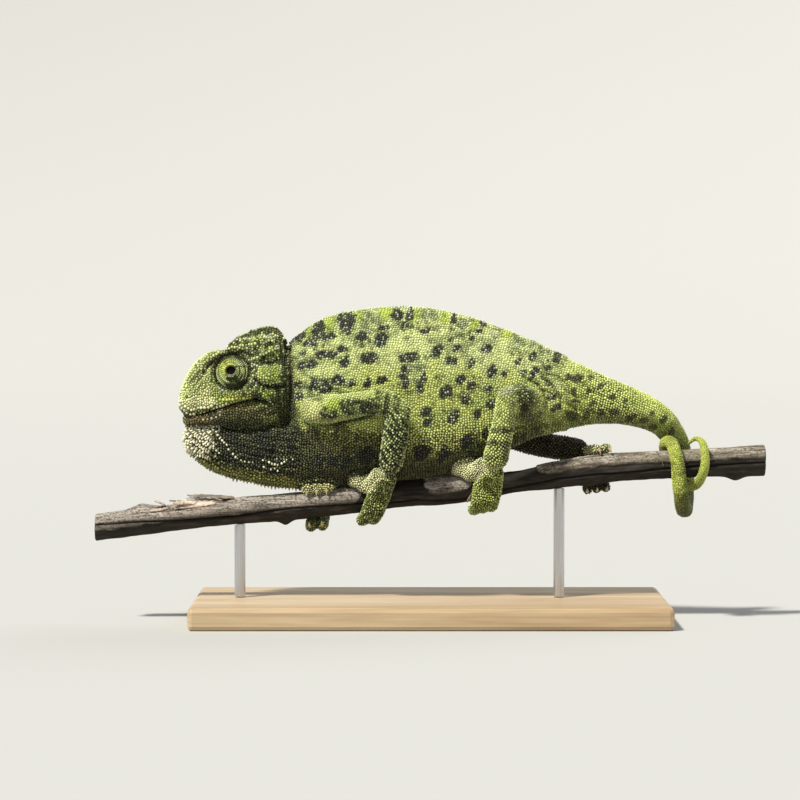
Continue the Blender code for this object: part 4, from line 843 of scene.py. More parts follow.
def tail_colours(colours, points, normals, wobble, speck):
    rear = np.nonzero(points[:, 0] > 38)[0]
    points, normals, wobble, speck = points[rear], normals[rear], wobble[rear], speck[rear]
    x, _, z = points.T
    share = near_line(points, TAIL_PATH)[1]
    on_tail = step(44, 56, x)
    light = ragged(step(-0.25, 0.25, grain(points, 3.2, 2, 17.0)), speck)
    # Crumpled skin at the hip: paler ridges and darker hollows, partly the skin's own tones, partly painted
    # light and shade.
    crumple = grain(points * [0.7, 1.0, 1.3], 2.2, 2, 91.0)
    crumpled = step(38, 46, x) * step(84, 66, x)
    marks = spot_share(x, z, [s for s in DARK_SPOTS + GREY_SPOTS if s[0] > 44], wobble, speck)
    # Painted shade: under the tail's base, where the tail drops behind the perch, on the side of the coil
    # turned away from the light and at its low end. The olive warts and bands are the tail's own marks.
    under = step(0.25, -0.45, normals[:, 2]) * step(0.44, 0.30, share) * step(38, 46, x)
    shade = step(0.24, 0.33, share) * step(0.52, 0.44, share)
    away = step(-0.05, 0.75, 0.75 * normals[:, 0] - 0.5 * normals[:, 2] + 0.25 * wobble)
    low_end_shade = ragged(step(49, 42, z + 3.0 * wobble), speck) * step(0.36, 0.44, share)
    warts = ragged(step(0.05, 0.4, wobble), speck) * step(0.30, 0.36, share)
    bands = step(0.1, 0.7, np.cos(share * 2 * np.pi * 17) + 0.8 * wobble) * step(0.18, 0.26, share)
    colours[rear] = lay(
        colours[rear], (on_tail * 0.9, "tail_green"), (0.75 * on_tail * light, "tail_light"),
        (0.55 * crumpled * ragged(step(0.10, 0.45, crumple), speck), "zone_green"),
        (0.60 * crumpled * step(-0.10, -0.45, crumple), "snout_green"), (0.85 * marks, "spot"),
        (step(0.22, 0.34, share), "tail_yellow"),
        (0.62 * under * (0.6 + 0.4 * step(-0.2, 0.3, wobble)), "tail_olive"), (0.45 * shade, "tail_olive"),
        (0.7 * away * step(0.36, 0.44, share) * step(0.8, 0.7, share), "tail_olive"),
        (0.72 * low_end_shade * step(0.8, 0.7, share), "tail_olive"),
        (0.35 * warts * step(0.9, 0.75, share), "tail_olive"),
        (0.38 * ragged(bands, speck) * step(0.85, 0.6, share), "tail_olive"))
    return colours


def limb_colours(colours, points, normals, fine, wobble, speck):
    """The arms, legs and toes, each in its own tone; also how much each point belongs to one."""
    whole = np.zeros(len(points))
    lines = [(name, limb[0], 6.6, 5.0) for name, limb in LIMBS.items()]
    for name, bundle in BUNDLES.items():
        reach = bundle[5] * 1.3
        lines += [(name, route, reach + 0.9, reach + 0.3) for route in digit_routes(name)]
    for name, line, outer, inner in lines:
        tone, bands, pale = LIMB_TONES[name]
        chosen = inside_box(points, line, outer)
        near, own, rough = points[chosen], speck[chosen], wobble[chosen]
        x, _, z = near.T
        far, share = near_line(near, line)
        curve = curve_through(line, 8)
        away = unit(near - along_curve(curve, share * curve[1][-1]))
        facing = (away * normals[chosen]).sum(axis=1)
        inside = step(outer, inner, far) * (step(0, 0.2, share) if name in LIMBS else step(0, 0.4, facing))
        if name in PALE_ENDS:
            inside = inside * step(PALE_ENDS[name] - 0.8, PALE_ENDS[name] + 0.8, x)
        length = np.linalg.norm(np.asarray(line)[-1] - np.asarray(line)[0])
        wave = np.cos(2 * np.pi * (share * length - 0.55 * x) / 3.4) + 2.2 * rough
        # Single pale scales, partly pale scales of the skin, partly painted highlights on the scales.
        single = (lot(own, 5.7) < pale) * (own != NO_SCALE)
        layers = [(inside, tone), (bands * inside * ragged(step(-0.2, 0.9, wave), own), "limb_dark"),
                  (0.75 * inside * single, "limb_pale_and_glint")]
        # Oblique rows of light scales on the forearm: partly its banded pattern, partly painted highlights
        # along the rows of scales.
        if name == "left_forearm":
            rows = np.cos(2 * np.pi * (0.83 * x + 0.56 * z) / 2.1) + 0.9 * rough
            light = ragged(step(-0.1, 0.6, rows), own)
            layers += [(inside * light * (0.36 + 0.34 * step(-10, -17, x)), "arm_green"),
                       (0.7 * inside * light * (lot(own, 3.1) < 0.32), "limb_pale_and_glint"),
                       (0.72 * inside * (1 - light), "limb_dark")]
        colours[chosen] = lay(colours[chosen], *layers)
        whole[chosen] = np.maximum(whole[chosen], inside)
    x, y, z = points.T
    near_side = whole * (y < -4)
    broken = 0.60 + 0.40 * step(-0.30, 0.10, fine + 0.4 * wobble)
    colours = patches(colours, LIMB_PATCHES, near_side * broken, x, z, wobble, speck)
    # Dark places hold single pale scales: painted highlights on the tips of dark scales.
    dark = near_side * step(0.10, 0.05, brightness(colours))
    single = (lot(speck, 7.3) > 0.66) * (speck != NO_SCALE)
    return lay(colours, (0.6 * dark * single, "limb_pale_and_glint")), whole


def head_colours(colours, head, x, z, wobble, fine, speck):
    colours = patches(lay(colours, (head, "casque_green")), HEAD_PATCHES, head, x, z, wobble, speck)
    chosen = np.nonzero(head > 0.01)[0]
    flat = np.stack([x, z], axis=-1)[chosen]
    inside, wobble, fine, speck = head[chosen], wobble[chosen], fine[chosen], speck[chosen]
    x, z = flat.T
    layers = []
    # Painted shade in the grooves, pits and jaw rings of the head and along the canthus; the brown of the
    # mouth line is its own colour.
    for name, strength, tone in (
            ("brow_groove", 0.95, "dark"), ("cheek_groove", 0.9, "dark"), ("ear_groove", 0.95, "dark"),
            ("temple_pit", 0.9, "dark"), ("canthus_line", 0.35, "olive_shade"),
            ("jaw_ring", 0.6, "dark"), ("jaw_ring_2", 0.6, "dark"), ("mouth", 0.5, "brown")):
        edge = near_line(flat, HEAD_FOLDS[name][2])[0] + 0.35 * wobble * (name != "mouth")
        layers.append((inside * strength * bell(edge, 0, HEAD_FOLDS[name][1] * 1.1), tone))
    # The pale crests of the brow and temple: partly pale crest scales, partly a painted highlight.
    for name, strength in (("brow_crest", 0.8), ("temple_crest", 0.75)):
        far = near_line(flat, HEAD_FOLDS[name][2])[0]
        layers.append((strength * inside * bell(far, 0, 0.9), "snout_green"))
    # ring also gives the dark band round each turret: painted shade in the fold round the eye.
    ring = np.hypot(x - LID_MIDDLE[0], z - LID_MIDDLE[1])
    cheek = swell(flat, -57, 88.2, 4.4, 2.8, 4)
    rear = step(-75, -69, x) * step(79, 82, z) * (1 - 0.65 * cheek)
    spread = fine + (0.7 + 0.4 * rear) * (speck - 0.5)
    band = inside * step(-76, -72, x) * step(3.0, 1.6, smooth(HEAD, x, 4) - z)
    ridges, cheekbone = snout_ridges(flat)
    colours[chosen] = lay(
        colours[chosen], *layers, (0.85 * inside * step(7.6, 6.7, ring + 0.5 * wobble), "dark"),
        (0.45 * inside * step(0.40, 0.62, spread), "olive_shade"),
        (0.88 * inside * rear * step(0.12, 0.26, spread), "casque_dark"),
        (0.5 * inside * rear * step(-0.30, -0.44, spread), "snout_green"),
        (0.8 * band * (lot(speck, 4.7) < 0.55), "casque_dark"),
        (0.75 * inside * cheekbone * step(0.1, 0.9, ridges), "olive_shade"),
        (0.50 * inside * cheek * (lot(speck, 4.1) < 0.30), "mid_green"),
        (0.40 * inside * cheek * (lot(speck, 6.3) < 0.20), "pale_green"))
    return colours


def throat_colours(colours, free, points, wobble, speck):
    x, _, z = points.T
    jaw = np.zeros(len(points))
    near = np.nonzero((x < -48) & (z < 84))[0]
    mouth = np.array(HEAD_FOLDS["mouth"][2])
    mouth_z = np.interp(x[near], mouth[:-1, 0], mouth[:-1, 1])
    jaw[near] = step(0.25, -0.35, z[near] - mouth_z) * step(-53.0, -56.0, x[near])
    neck = step(-50.2, -51.4, x) * step(-58.6, -54.5, x) * step(84, 79, z)
    pouch = throat_share(points)
    below = step(-38.0, -44.0, x + 1.5 * wobble) * step(70, 66.5, z)
    # The olive under the head, on the chest and between the jaw and the neck is partly the skin's own olive,
    # partly painted shade under the head and throat.
    colours = lay(colours, (free * step(-44.0, -48.5, x) * step(80, 74, z), "neck_olive_and_shade"),
                  (0.75 * free * ragged(below, speck), "neck_olive_and_shade"), (0.85 * free * neck, "neck_olive_and_shade"),
                  (free * jaw, "jaw_olive"))
    colours = patches(colours, JAW_PATCHES, free * np.maximum(jaw, neck), x, z, wobble, speck)
    rise = z - smooth(THROAT, x, 2)
    pleat = step(0.1, 0.9, np.cos(2 * np.pi * rise / THROAT_PLEAT))
    # The throat's olive is partly painted shade; its pleats get painted shade in their grooves and more pale
    # scales, partly painted highlights, on their ridges.
    colours = lay(colours, (free * pouch, "throat_olive_and_shade"),
                  (free * pouch * (1 - pleat) * 0.35, "purple_dark"),
                  (free * pouch * (0.2 + 0.4 * pleat) * step(0.3, 0.9, speck), "olive_light"))
    kept = 0.25 + 0.60 * step(0.85, 0.70, lot(speck, 3.7))
    colours = patches(colours, THROAT_PATCHES, kept * free * pouch, x, z, wobble, speck)
    edge = free * pouch * step(6.0, 2.2, rise + 1.2 * wobble)
    front = step(-72.0, -80.5, x + 1.3 * wobble + 0.25 * (68 - z)) * step(71, 69.4, z)
    front = front * step(58.0, 61.0, z + 0.25 * (x + 84)) * free * (x < -71)
    cream = step(-0.06, 0.06, front - 0.08 - 0.84 * speck)
    return lay(colours, (0.85 * ragged(edge, speck), "throat_edge"),
               (0.5 * front * (1 - cream), "throat_olive_and_shade"), (0.95 * cream * (front > 0.02), "cream"))


# ---- scales
# Pitch along and across a length of the body, height of a scale, and 0.5 for brick-like rows
SCALE_ROWS = {
    "trunk": (0.95, 0.85, 0.38, 0), "neck": (0.92, 0.86, 0.4, 0.5), "head": (0.9, 0.82, 0.42, 0.5),
    "lower_jaw": (0.94, 0.86, 0.4, 0.5), "throat_pouch": (1.05, 0.92, 0.42, 0.5),
    "tail": (0.92, 0.86, 0.32, 0), "limb": (0.98, 0.9, 0.52, 0.5), "digit": (0.84, 0.76, 0.42, 0.5),
    "bead": (1.2, 1.1, 0.62, 0)}
COAT_GROUPS = {"trunk": "trunk", "neck": "trunk", "head": "head", "lower_jaw": "throat",
               "throat_pouch": "throat", "tail": "tail"}
# Rows of larger scales on the side of the head: tube, spacing, size, height, tone, line through (x, z)
BEAD_ROWS = (
    ("head", 1.25, 0.62, 0.5, "lip_pale", ((-89.9, 77.6), (-88.2, 75.6), (-86.2, 74.4), (-83, 75),
        (-79.7, 75.6), (-76, 77), (-72.4, 78.2))),
    ("head", 1.25, 0.6, 0.46, "lip_pale", ((-89.6, 79), (-86.4, 76), (-83, 76.4), (-78, 77.2),
        (-75, 78.4))),
    ("head", 1.2, 0.64, 0.5, "lip_yellow", ((-75.4, 79.4), (-72.8, 79.6), (-69, 80), (-66, 80.4),
        (-63.2, 80.8))),
    ("head", 1.2, 0.58, 0.42, "casque_green", ((-72.4, 99.8), (-69, 101.8), (-65, 103.6), (-60, 105.2),
        (-56.4, 105.6), (-53.8, 104), (-52.6, 101.4))),
    ("lower_jaw", 1.1, 0.52, 0.5, "lip_brown", ((-88.6, 74), (-86, 73.2), (-82.6, 73.7), (-79.4, 74.2),
        (-74, 76.2), (-68, 77.9), (-63, 79))),
    ("lower_jaw", 1.2, 0.58, 0.44, "lip_brown", ((-88.2, 73), (-86.2, 72.3), (-83, 73.3), (-79.4, 74.4))),
    ("lower_jaw", 1.25, 0.66, 0.56, "lip_cream", ((-80, 73.6), (-78.4, 74), (-75.2, 75.3), (-71.6, 76.5))),
    ("lower_jaw", 1.6, 0.56, 0.44, "lip_cream", ((-81.6, 72.2), (-78, 72.9), (-74, 74.2))),
    ("lower_jaw", 1.35, 0.56, 0.42, "olive_light", ((-70.6, 76.7), (-66.4, 77.8), (-63, 78.6))),
    ("lower_jaw", 1.1, 0.5, 0.42, "pale_grey", ((-61.6, 79.7), (-57.8, 79.1), (-56, 76.8))),
    ("lower_jaw", 1.05, 0.5, 0.42, "olive_light", ((-61, 77.8), (-58.8, 77), (-58.2, 74.8), (-59.8, 72.9))),
    ("lower_jaw", 1.05, 0.5, 0.42, "mid_green", ((-55.9, 79.4), (-54.8, 76.8), (-55.4, 73.8),
        (-57.6, 71.6))),
    ("head", 1.02, 0.5, 0.38, "snout_green", ((-87.6, 84), (-84.5, 88.8), (-80.5, 93), (-76, 96.4),
        (-70.5, 98.4), (-65, 99.4), (-59.5, 100.2), (-54.4, 101.2))),
    ("head", 1.15, 0.52, 0.5, "pale_green", ((-64, 93.8), (-60, 95.8), (-56, 97.4), (-53.8, 98.4))),
    ("head", 1.1, 0.52, 0.46, "pale_green", ((-60.6, 86.4), (-57.4, 85.6), (-53.4, 86.2))),
    ("throat_pouch", 1.25, 0.5, 0.72, "cream", ((-77.4, 69.4), (-75.3, 66.2), (-72.3, 62.3),
        (-69.3, 58.6))),
    ("throat_pouch", 1.25, 0.5, 0.66, "cream", ((-79.6, 65.5), (-77, 61.6), (-75.4, 59.8))),
    ("throat_pouch", 1.5, 0.4, 0.56, "pale_grey", ((-69.3, 58.6), (-65.8, 56.9), (-64, 57.1),
        (-61.6, 56.2))),
    ("throat_pouch", 1.2, 0.46, 0.62, "cream", ((-60.8, 56), (-58.9, 55.2), (-57.2, 54.9), (-53.7, 54.1))),
    ("throat_pouch", 1.15, 0.46, 0.62, "cream", ((-60.2, 58), (-55.4, 56.7), (-52.4, 57.1), (-51.1, 58.4),
        (-48.5, 58.6))),
    ("throat_pouch", 1.25, 0.4, 0.56, "pale_grey", ((-56.3, 58.8), (-52.8, 58.6), (-49, 59.9))))
# Columns of a scale's row after its root and its direction
RUN, ARC, LONG, WIDE, HIGH = range(6, 11)
SCALE_SIDES = 7
SCALE_SINK = 0.14
# (share of the radius, share of the height) of the rings from root to tip, and their shades
SCALE_RINGS = ((1.0, 0.0), (0.90, 0.55), (0.54, 0.90))
# Each scale is painted darker towards its root, painted shade in the gaps between scales, and lighter at its
# top by SCALE_TOP_SHADE, a painted highlight.
RING_SHADES = {"trunk": (0.42, 0.86, 1.0), "tail": (0.22, 0.78, 1.0), "head": (0.34, 0.84, 1.0),
               "throat": (0.22, 0.76, 1.0), "limbs": (0.12, 0.60, 1.0), "lid": (0.22, 0.80, 1.0)}
SCALE_TOP_SHADE = 1.08
NEIGHBOURS = 8
SCALE_SHIFT = {"head": 0.17, "lower_jaw": 0.16, "throat_pouch": 0.15, "tail": 0.10, "trunk": 0.13}
TAIL_TAPER = 0.34
TAIL_LENGTH = 190
ROOM_WANTED, ROOM_TAKEN = 0.78, 0.86     # as shares of a scale's mean pitch
BACK_LEAN_FROM = 84.0      # above this height the rows of the back lean to the rear
BACK_LEAN = 0.30
LIMB_LEAN = 0.5
PIECE_LIMIT = 190000
PATCH = 0.003


def rows_of(name):
    """Pitch, spacing, height and stagger of the scales on one length of the body."""
    return SCALE_ROWS.get(name, SCALE_ROWS["limb" if name in LIMBS else "digit"])


def eye_back(side):
    return np.array(EYE_CENTRE) * [1, side, 1]


def gaze_of(side):
    gaze = np.array([-math.tan(math.radians(EYE_FORWARD)), side, math.tan(math.radians(EYE_UP))])
    return gaze / np.linalg.norm(gaze)


def under_turret(points):
    """True where an eye turret stands on the skin."""
    out = np.zeros(len(points), bool)
    for side in (-1, 1):
        away, gaze = points - eye_back(side), gaze_of(side)
        deep = away @ gaze
        out |= (deep > 1.5) & (np.linalg.norm(away - deep[:, None] * gaze, axis=1) < 6.1)
    return out


class Crowd:
    """Places already taken, in cells, so that a new scale keeps its distance."""

    def __init__(self, cell):
        self.cell, self.cells = cell, {}

    def key(self, p):
        return tuple(int(math.floor(v / self.cell)) for v in p)

    def free(self, p, reach):
        """True if nothing stands nearer than the mean of both scales' reaches."""
        for cell in product(*[(c - 1, c, c + 1) for c in self.key(p)]):
            for x, y, z, other in self.cells.get(cell, ()):
                if (x - p[0])**2 + (y - p[1])**2 + (z - p[2])**2 < (0.5 * (reach + other))**2:
                    return False
        return True

    def add(self, p, reach):
        self.cells.setdefault(self.key(p), []).append((*p, reach))


def row_places(name, length, pitch):
    """Where the rows stand along a tube; they come closer together towards the end of the tail."""
    if name != "tail":
        return np.arange(pitch * 0.5, length, pitch)
    places = [pitch * 0.5]
    while places[-1] < length:
        places.append(places[-1] + pitch * (1 - TAIL_TAPER * places[-1] / length))
    return np.array(places[:-1])


def ring_hits(tree, ring, centre, side, up, angles, slack):
    """Where rays from the centre line meet the skin near the tube's own outline, or None."""
    away = ring - centre
    turns, reaches = np.arctan2(away @ up, away @ side), np.hypot(away @ up, away @ side)
    order = np.argsort(turns)
    hits = []
    for a, reach in zip(angles, np.interp(angles, turns[order], reaches[order], period=2 * np.pi)):
        ray = Vector(side * math.cos(a) + up * math.sin(a))
        place, normal, _, far = tree.ray_cast(Vector(centre), ray, reach + slack)
        missed = place is None or far < reach - slack or normal.dot(ray) < 0.05
        hits.append(None if missed else np.array(place))
    return hits


def trunk_stops(centre, hits, arcs, across):
    """Where the scales of a row stand on the trunk, counted from the middle of each flank."""
    level = smooth(TRUNK, centre[0], 2) * 0.58 + smooth(TRUNK, centre[0], 1) * 0.42
    half = len(hits) // 2
    near = [abs(h[2] - level) if h is not None else 99 for h in hits]
    anchors = (arcs[int(np.argmin(near[:half]))], arcs[half + int(np.argmin(near[half:]))])
    stops = []
    for anchor, low, high in zip(anchors, (0.0, arcs[half]), (arcs[half], arcs[-1])):
        stops += list(np.arange(anchor - math.floor((anchor - low) / across) * across, high, across))
    return stops


def scale_rows(name, rings, centres, tree):
    """Roots of the scales in rows along one length of the body: x, y, z, direction, places."""
    pitch, across, _, stagger = rows_of(name)
    upright = name in UPRIGHTS or name == "head"
    along, sides, ups = frames_along(centres)
    if upright:
        along, sides, ups = (np.tile(axis, (len(centres), 1)) for axis in np.eye(3))
    run = run_of(centres)
    girth = np.linalg.norm(np.diff(rings[len(rings) // 2], axis=0), axis=1).sum()
    rays = int(max(28, girth / 0.55))
    # from the top round the left side to the top again
    angles = np.pi / 2 + 2 * np.pi * np.arange(rays + 1) / rays
    found = []
    for number, at in enumerate(row_places(name, run[-1], pitch)):
        row = int(np.argmin(np.abs(run - at)))
        centre = along_curve((centres, run), np.array([at]))[0]
        up, ahead = ups[row], along[row]
        hits = ring_hits(tree, rings[row], centre, sides[row], up, angles, 2.2 if upright else 1.3)
        arcs = [0.0]
        for p, q in zip(hits, hits[1:]):
            arcs.append(arcs[-1] + (0.5 if p is None or q is None else float(np.linalg.norm(q - p))))
        if name == "trunk":
            stops = trunk_stops(centre, hits, arcs, across)
        else:
            close = 1 - TAIL_TAPER * at / run[-1] if name == "tail" else 1.0
            count = max(int(round(arcs[-1] / (across * close))), 4)
            stops = [(k + stagger * (number % 2) + 0.25) * arcs[-1] / count for k in range(count)]
        for stop in stops:
            k = min(int(np.searchsorted(arcs, stop, side="right")) - 1, len(hits) - 2)
            if k < 0 or hits[k] is None or hits[k + 1] is None or arcs[k + 1] <= arcs[k]:
                continue
            t = (stop - arcs[k]) / (arcs[k + 1] - arcs[k])
            p = hits[k] * (1 - t) + hits[k + 1] * t
            if name in LIMBS:
                p = p + ahead * LIMB_LEAN * float((p - centre) @ up)
            elif name == "trunk" and p[2] > BACK_LEAN_FROM:
                p = p + ahead * BACK_LEAN * (p[2] - BACK_LEAN_FROM)
            found.append((*p, *ahead, at, stop))
    return np.array(found)


def bead_places(tree, rng):
    """The rows of larger scales along the lips, the crests and the throat, on both sides."""
    for name, spacing, size, height, tone, line in BEAD_ROWS:
        curve = curve_through(line, 12)
        for at in np.arange(0.3, curve[1][-1], spacing):
            x, z = along_curve(curve, np.array([at]))[0] + rng.normal(0, 0.12, 2)
            wide = 2 * (size * rng.uniform(0.78, 1.12))
            if name == "throat_pouch" and rng.uniform() < 0.18:
                continue
            for side in (-1.0, 1.0):
                place, normal, *_ = tree.ray_cast(Vector((x, 30 * side, z)), Vector((0, -side, 0)))
                if place is not None and abs(normal[1]) > 0.15:
                    run, arc = x + 90, side * (z - 40) + 90
                    yield (*place, 1.0, 0.0, 0.0, run, arc, wide, wide, height), name, tone


def plan_scales(skin, inset):
    """Every scale of the coat: root, direction, place and size in rows, with names and tones."""
    rng = np.random.default_rng(SEED)
    tree = surface_of(skin.data)
    crowd = Crowd(1.4)
    coat = []
    for row, name, tone in list(bead_places(tree, rng)):
        if crowd.free(row[:3], 0.8 * row[LONG]):
            crowd.add(row[:3], row[LONG])
            coat.append((row, name, tone))
    for name, rings, centres in body_tubes(inset):
        pitch, across, height, _ = rows_of(name)
        found = scale_rows(name, rings, centres, tree)
        if not len(found):
            continue
        warp = np.stack([grain(found[:, :3], 7.0, 1, shift) for shift in (3.0, 31.0, 57.0)], axis=-1)
        found[:, :3] += 0.6 * warp + rng.normal(0, SCALE_SHIFT.get(name, 0.11), (len(found), 3))
        reach = (pitch + across) / 2
        for row in found:
            place = tree.find_nearest(Vector(row[:3]), 3.0)[0]
            if place is not None and crowd.free(place, ROOM_WANTED * reach):
                close = 1 - TAIL_TAPER * row[RUN] / TAIL_LENGTH if name == "tail" else 1.0
                crowd.add(place, ROOM_TAKEN * reach * close)
                own = close * rng.uniform(0.86, 1.14)
                coat.append(((*place, *row[3:], pitch * own, across * own, height * close**2), name, ""))
    fill_gaps(shape_of(skin.data)[0], coat, crowd)
    rows, names, tones = (np.array(column) for column in zip(*coat))
    rows[:, :3], normals = relax(rows[:, :3], (rows[:, LONG] + rows[:, WIDE]) / 2, tones != "", tree)
    kept = ~(under_turret(rows[:, :3]) | (inside_mouth(rows[:, :3]) & (tones == "")))
    rows, names, tones, normals = rows[kept], names[kept], tones[kept], normals[kept]
    return rows, names, tones, normals, across_normals(rows[:, 3:6], normals)


def tree_of(points):
    tree = kdtree.KDTree(len(points))
    for i, p in enumerate(points):
        tree.insert(p, i)
    tree.balance()
    return tree


def fill_gaps(verts, coat, crowd):
    """Adds scales where a fold, a join or an end is still bare."""
    tree = tree_of([row[:3] for row, *_ in coat])
    bare = []
    for v in verts:
        _, index, far = tree.find(v)
        if far > 0.66 * coat[index][0][WIDE]:
            bare.append((far, index, v))
    bare.sort(key=lambda item: (-item[0], item[1]))
    for far, index, v in bare:
        row, name, _ = coat[index]
        size = min(row[LONG], row[WIDE], 1.05)
        if far < 9.0 and crowd.free(tuple(v), 0.76 * size):
            crowd.add(tuple(v), 0.84 * size)
            offset, ahead = v - np.array(row[:3]), np.array(row[3:6])
            forward = float(offset @ ahead)
            sideways = math.sqrt(max(float(offset @ offset) - forward**2, 0.0))
            coat.append(((*v, *ahead, row[RUN] + forward, row[ARC] + sideways, size, size,
                          min(row[HIGH], 0.44)), name, ""))


def nearest_others(points, count):
    """Numbers of each point's nearest other points."""
    tree = tree_of(points)
    return np.array([[found[1] for found in tree.find_n(p, count + 1)[1:]] for p in points])


def relax(points, size, fixed, tree, rounds=2):
    """Pushes crowded scales a little apart, back onto the skin each time."""
    normals = np.zeros_like(points)
    for k in range(rounds + 1):
        if k:
            near = nearest_others(points, 6)
            apart = points[:, None] - points[near]
            far = np.maximum(np.linalg.norm(apart, axis=2), 1e-6)
            push = np.clip(0.5 * (size[:, None] + size[near]) - far, 0, 0.5) / far * 0.35
            points = points + (apart * push[..., None]).sum(axis=1) * (~fixed)[:, None]
        for i, p in enumerate(points):
            points[i], normals[i] = tree.find_nearest(Vector(p), 5.0)[:2]
    return points, normals


def scale_outlines(roots, normals, along, size, rng):
    """Radius of each scale towards each of its sides, up to half-way to its neighbours."""
    across = np.cross(normals, along)
    near = nearest_others(roots, NEIGHBOURS)
    away = roots[near] - roots[:, None]
    flat = np.stack([(away * along[:, None]).sum(axis=2), (away * across[:, None]).sum(axis=2)], axis=-1)
    far = np.maximum(np.linalg.norm(flat, axis=2), 0.05)
    same_side = (normals[near] * normals[:, None]).sum(axis=2) > 0.25
    share = size[:, None] / (size[:, None] + size[near])
    phase = rng.uniform(0, 2 * np.pi, len(roots))
    a = phase[:, None] + 2 * np.pi * np.arange(SCALE_SIDES) / SCALE_SIDES
    facing = np.einsum("nsk,njk->nsj", np.stack([np.cos(a), np.sin(a)], axis=-1), flat) / far[:, None]
    limit = (far * share)[:, None] / np.maximum(facing, 1e-3)
    limit = np.where((facing > 0.2) & same_side[:, None], limit, 9.0)
    radius = np.minimum(limit.min(axis=2), 0.60 * size[:, None])
    radius = np.minimum(radius, 1.10 * radius.mean(axis=1, keepdims=True)) * 0.95 - 0.025
    return np.maximum(radius, 0.12), phase


def inside_mouth(points):
    """True in the closed slit between the lips."""
    return (near_line(points[:, [0, 2]], HEAD_FOLDS["mouth"][2])[0] < 0.14) & (points[:, 0] < -61)


def bake_places(tube_names, places):
    """Lays the body's lengths side by side on one square and returns each scale's place on it."""
    boxes = []
    for name in sorted(set(tube_names)):
        own = places[tube_names == name]
        boxes.append((name, own.min(axis=0), own.max(axis=0) - own.min(axis=0) + 2.0))
    boxes.sort(key=lambda box: -box[2][1])
    wide = max(math.sqrt(sum(size[0] * size[1] for *_, size in boxes)) * 1.1,
               max(size[0] for *_, size in boxes))
    across = up = shelf = 0.0
    corners = {}
    for name, low, size in boxes:
        if across + size[0] > wide and across > 0:
            across, up, shelf = 0.0, up + shelf, 0.0
        corners[name] = np.array([across, up]) - low
        across += size[0]
        shelf = max(shelf, size[1])
    shift = np.array([corners[name] for name in tube_names])
    return (places + shift + 1.0) * (0.98 / max(wide, up + shelf)) + 0.01


def scale_rings(group):
    return [(*ring, shade) for ring, shade in zip(SCALE_RINGS, RING_SHADES[group])]


def even_outlines(count, size, seed):
    """Nearly round outlines for scales that stand in rows of their own."""
    rng = np.random.default_rng(seed)
    return (size * (1 + rng.uniform(-0.07, 0.07, (count, SCALE_SIDES))), rng.uniform(0, 2 * np.pi, count))


def scale_mesh(name, roots, normals, along, outline, heights, lean, colours, uv, rings):
    """One closed, domed scale on each root, joined in one mesh with its bake map and colours."""
    radii, phase = outline
    n, sides = len(roots), SCALE_SIDES
    across = np.cross(normals, along)
    a = phase[:, None] + 2 * np.pi * np.arange(sides) / sides
    c, s = np.cos(a) * radii, np.sin(a) * radii
    rise = heights + SCALE_SINK
    base = roots - normals * SCALE_SINK
    blocks, shades, offsets = [], [], []
    for share, high, shade in rings:
        blocks.append(base[:, None] + along[:, None] * (c * share)[..., None]
                      + across[:, None] * (s * share)[..., None]
                      + (normals * (rise * high)[:, None] + lean * high**2)[:, None])
        shades += [shade] * sides
        offsets.append(np.stack([np.cos(a), np.sin(a)], axis=-1) * share)
    blocks.append((base + normals * rise[:, None] + lean)[:, None])
    shades.append(SCALE_TOP_SHADE)
    offsets.append(np.zeros((n, 1, 2)))
    per = len(shades)
    first = (np.arange(n) * per)[:, None, None]
    i = np.arange(sides)
    last = per - 1 - sides
    tris = np.stack([i + last, (i + 1) % sides + last, np.full(sides, per - 1)], axis=-1)
    mesh = mesh_from(name, np.concatenate(blocks, axis=1).reshape(-1, 3),
                     (ring_quads(len(rings), sides) + first).reshape(-1, 4),
                     (tris + first).reshape(-1, 3), (i[::-1] + first[:, 0]).reshape(-1, sides))
    # Painted shade towards each scale's root and a painted highlight at its top.
    tint = colours[:, None] * np.array(shades)[None, :, None]
    set_colours(mesh, np.clip(tint, 0, 1).reshape(-1, 3))
    corner = np.empty(len(mesh.loops), np.int32)
    mesh.loops.foreach_get("vertex_index", corner)
    spots = (uv[:, None] + np.concatenate(offsets, axis=1) * PATCH / 2).reshape(-1, 2)
    layer = mesh.uv_layers.new(name="OFBake")
    layer.data.foreach_set("uv", spots[corner].astype(np.float32).ravel())
    return mesh


def ridge_roots(tree, xs, z, up):
    """Roots and normals of one row of crest scales, found by rays onto the skin."""
    found = [tree.ray_cast(Vector((x, 0, z)), Vector((0, 0, up)), 40.0)[:2] for x in xs]
    return [(np.array(place), np.array(normal)) for place, normal in found if place is not None]


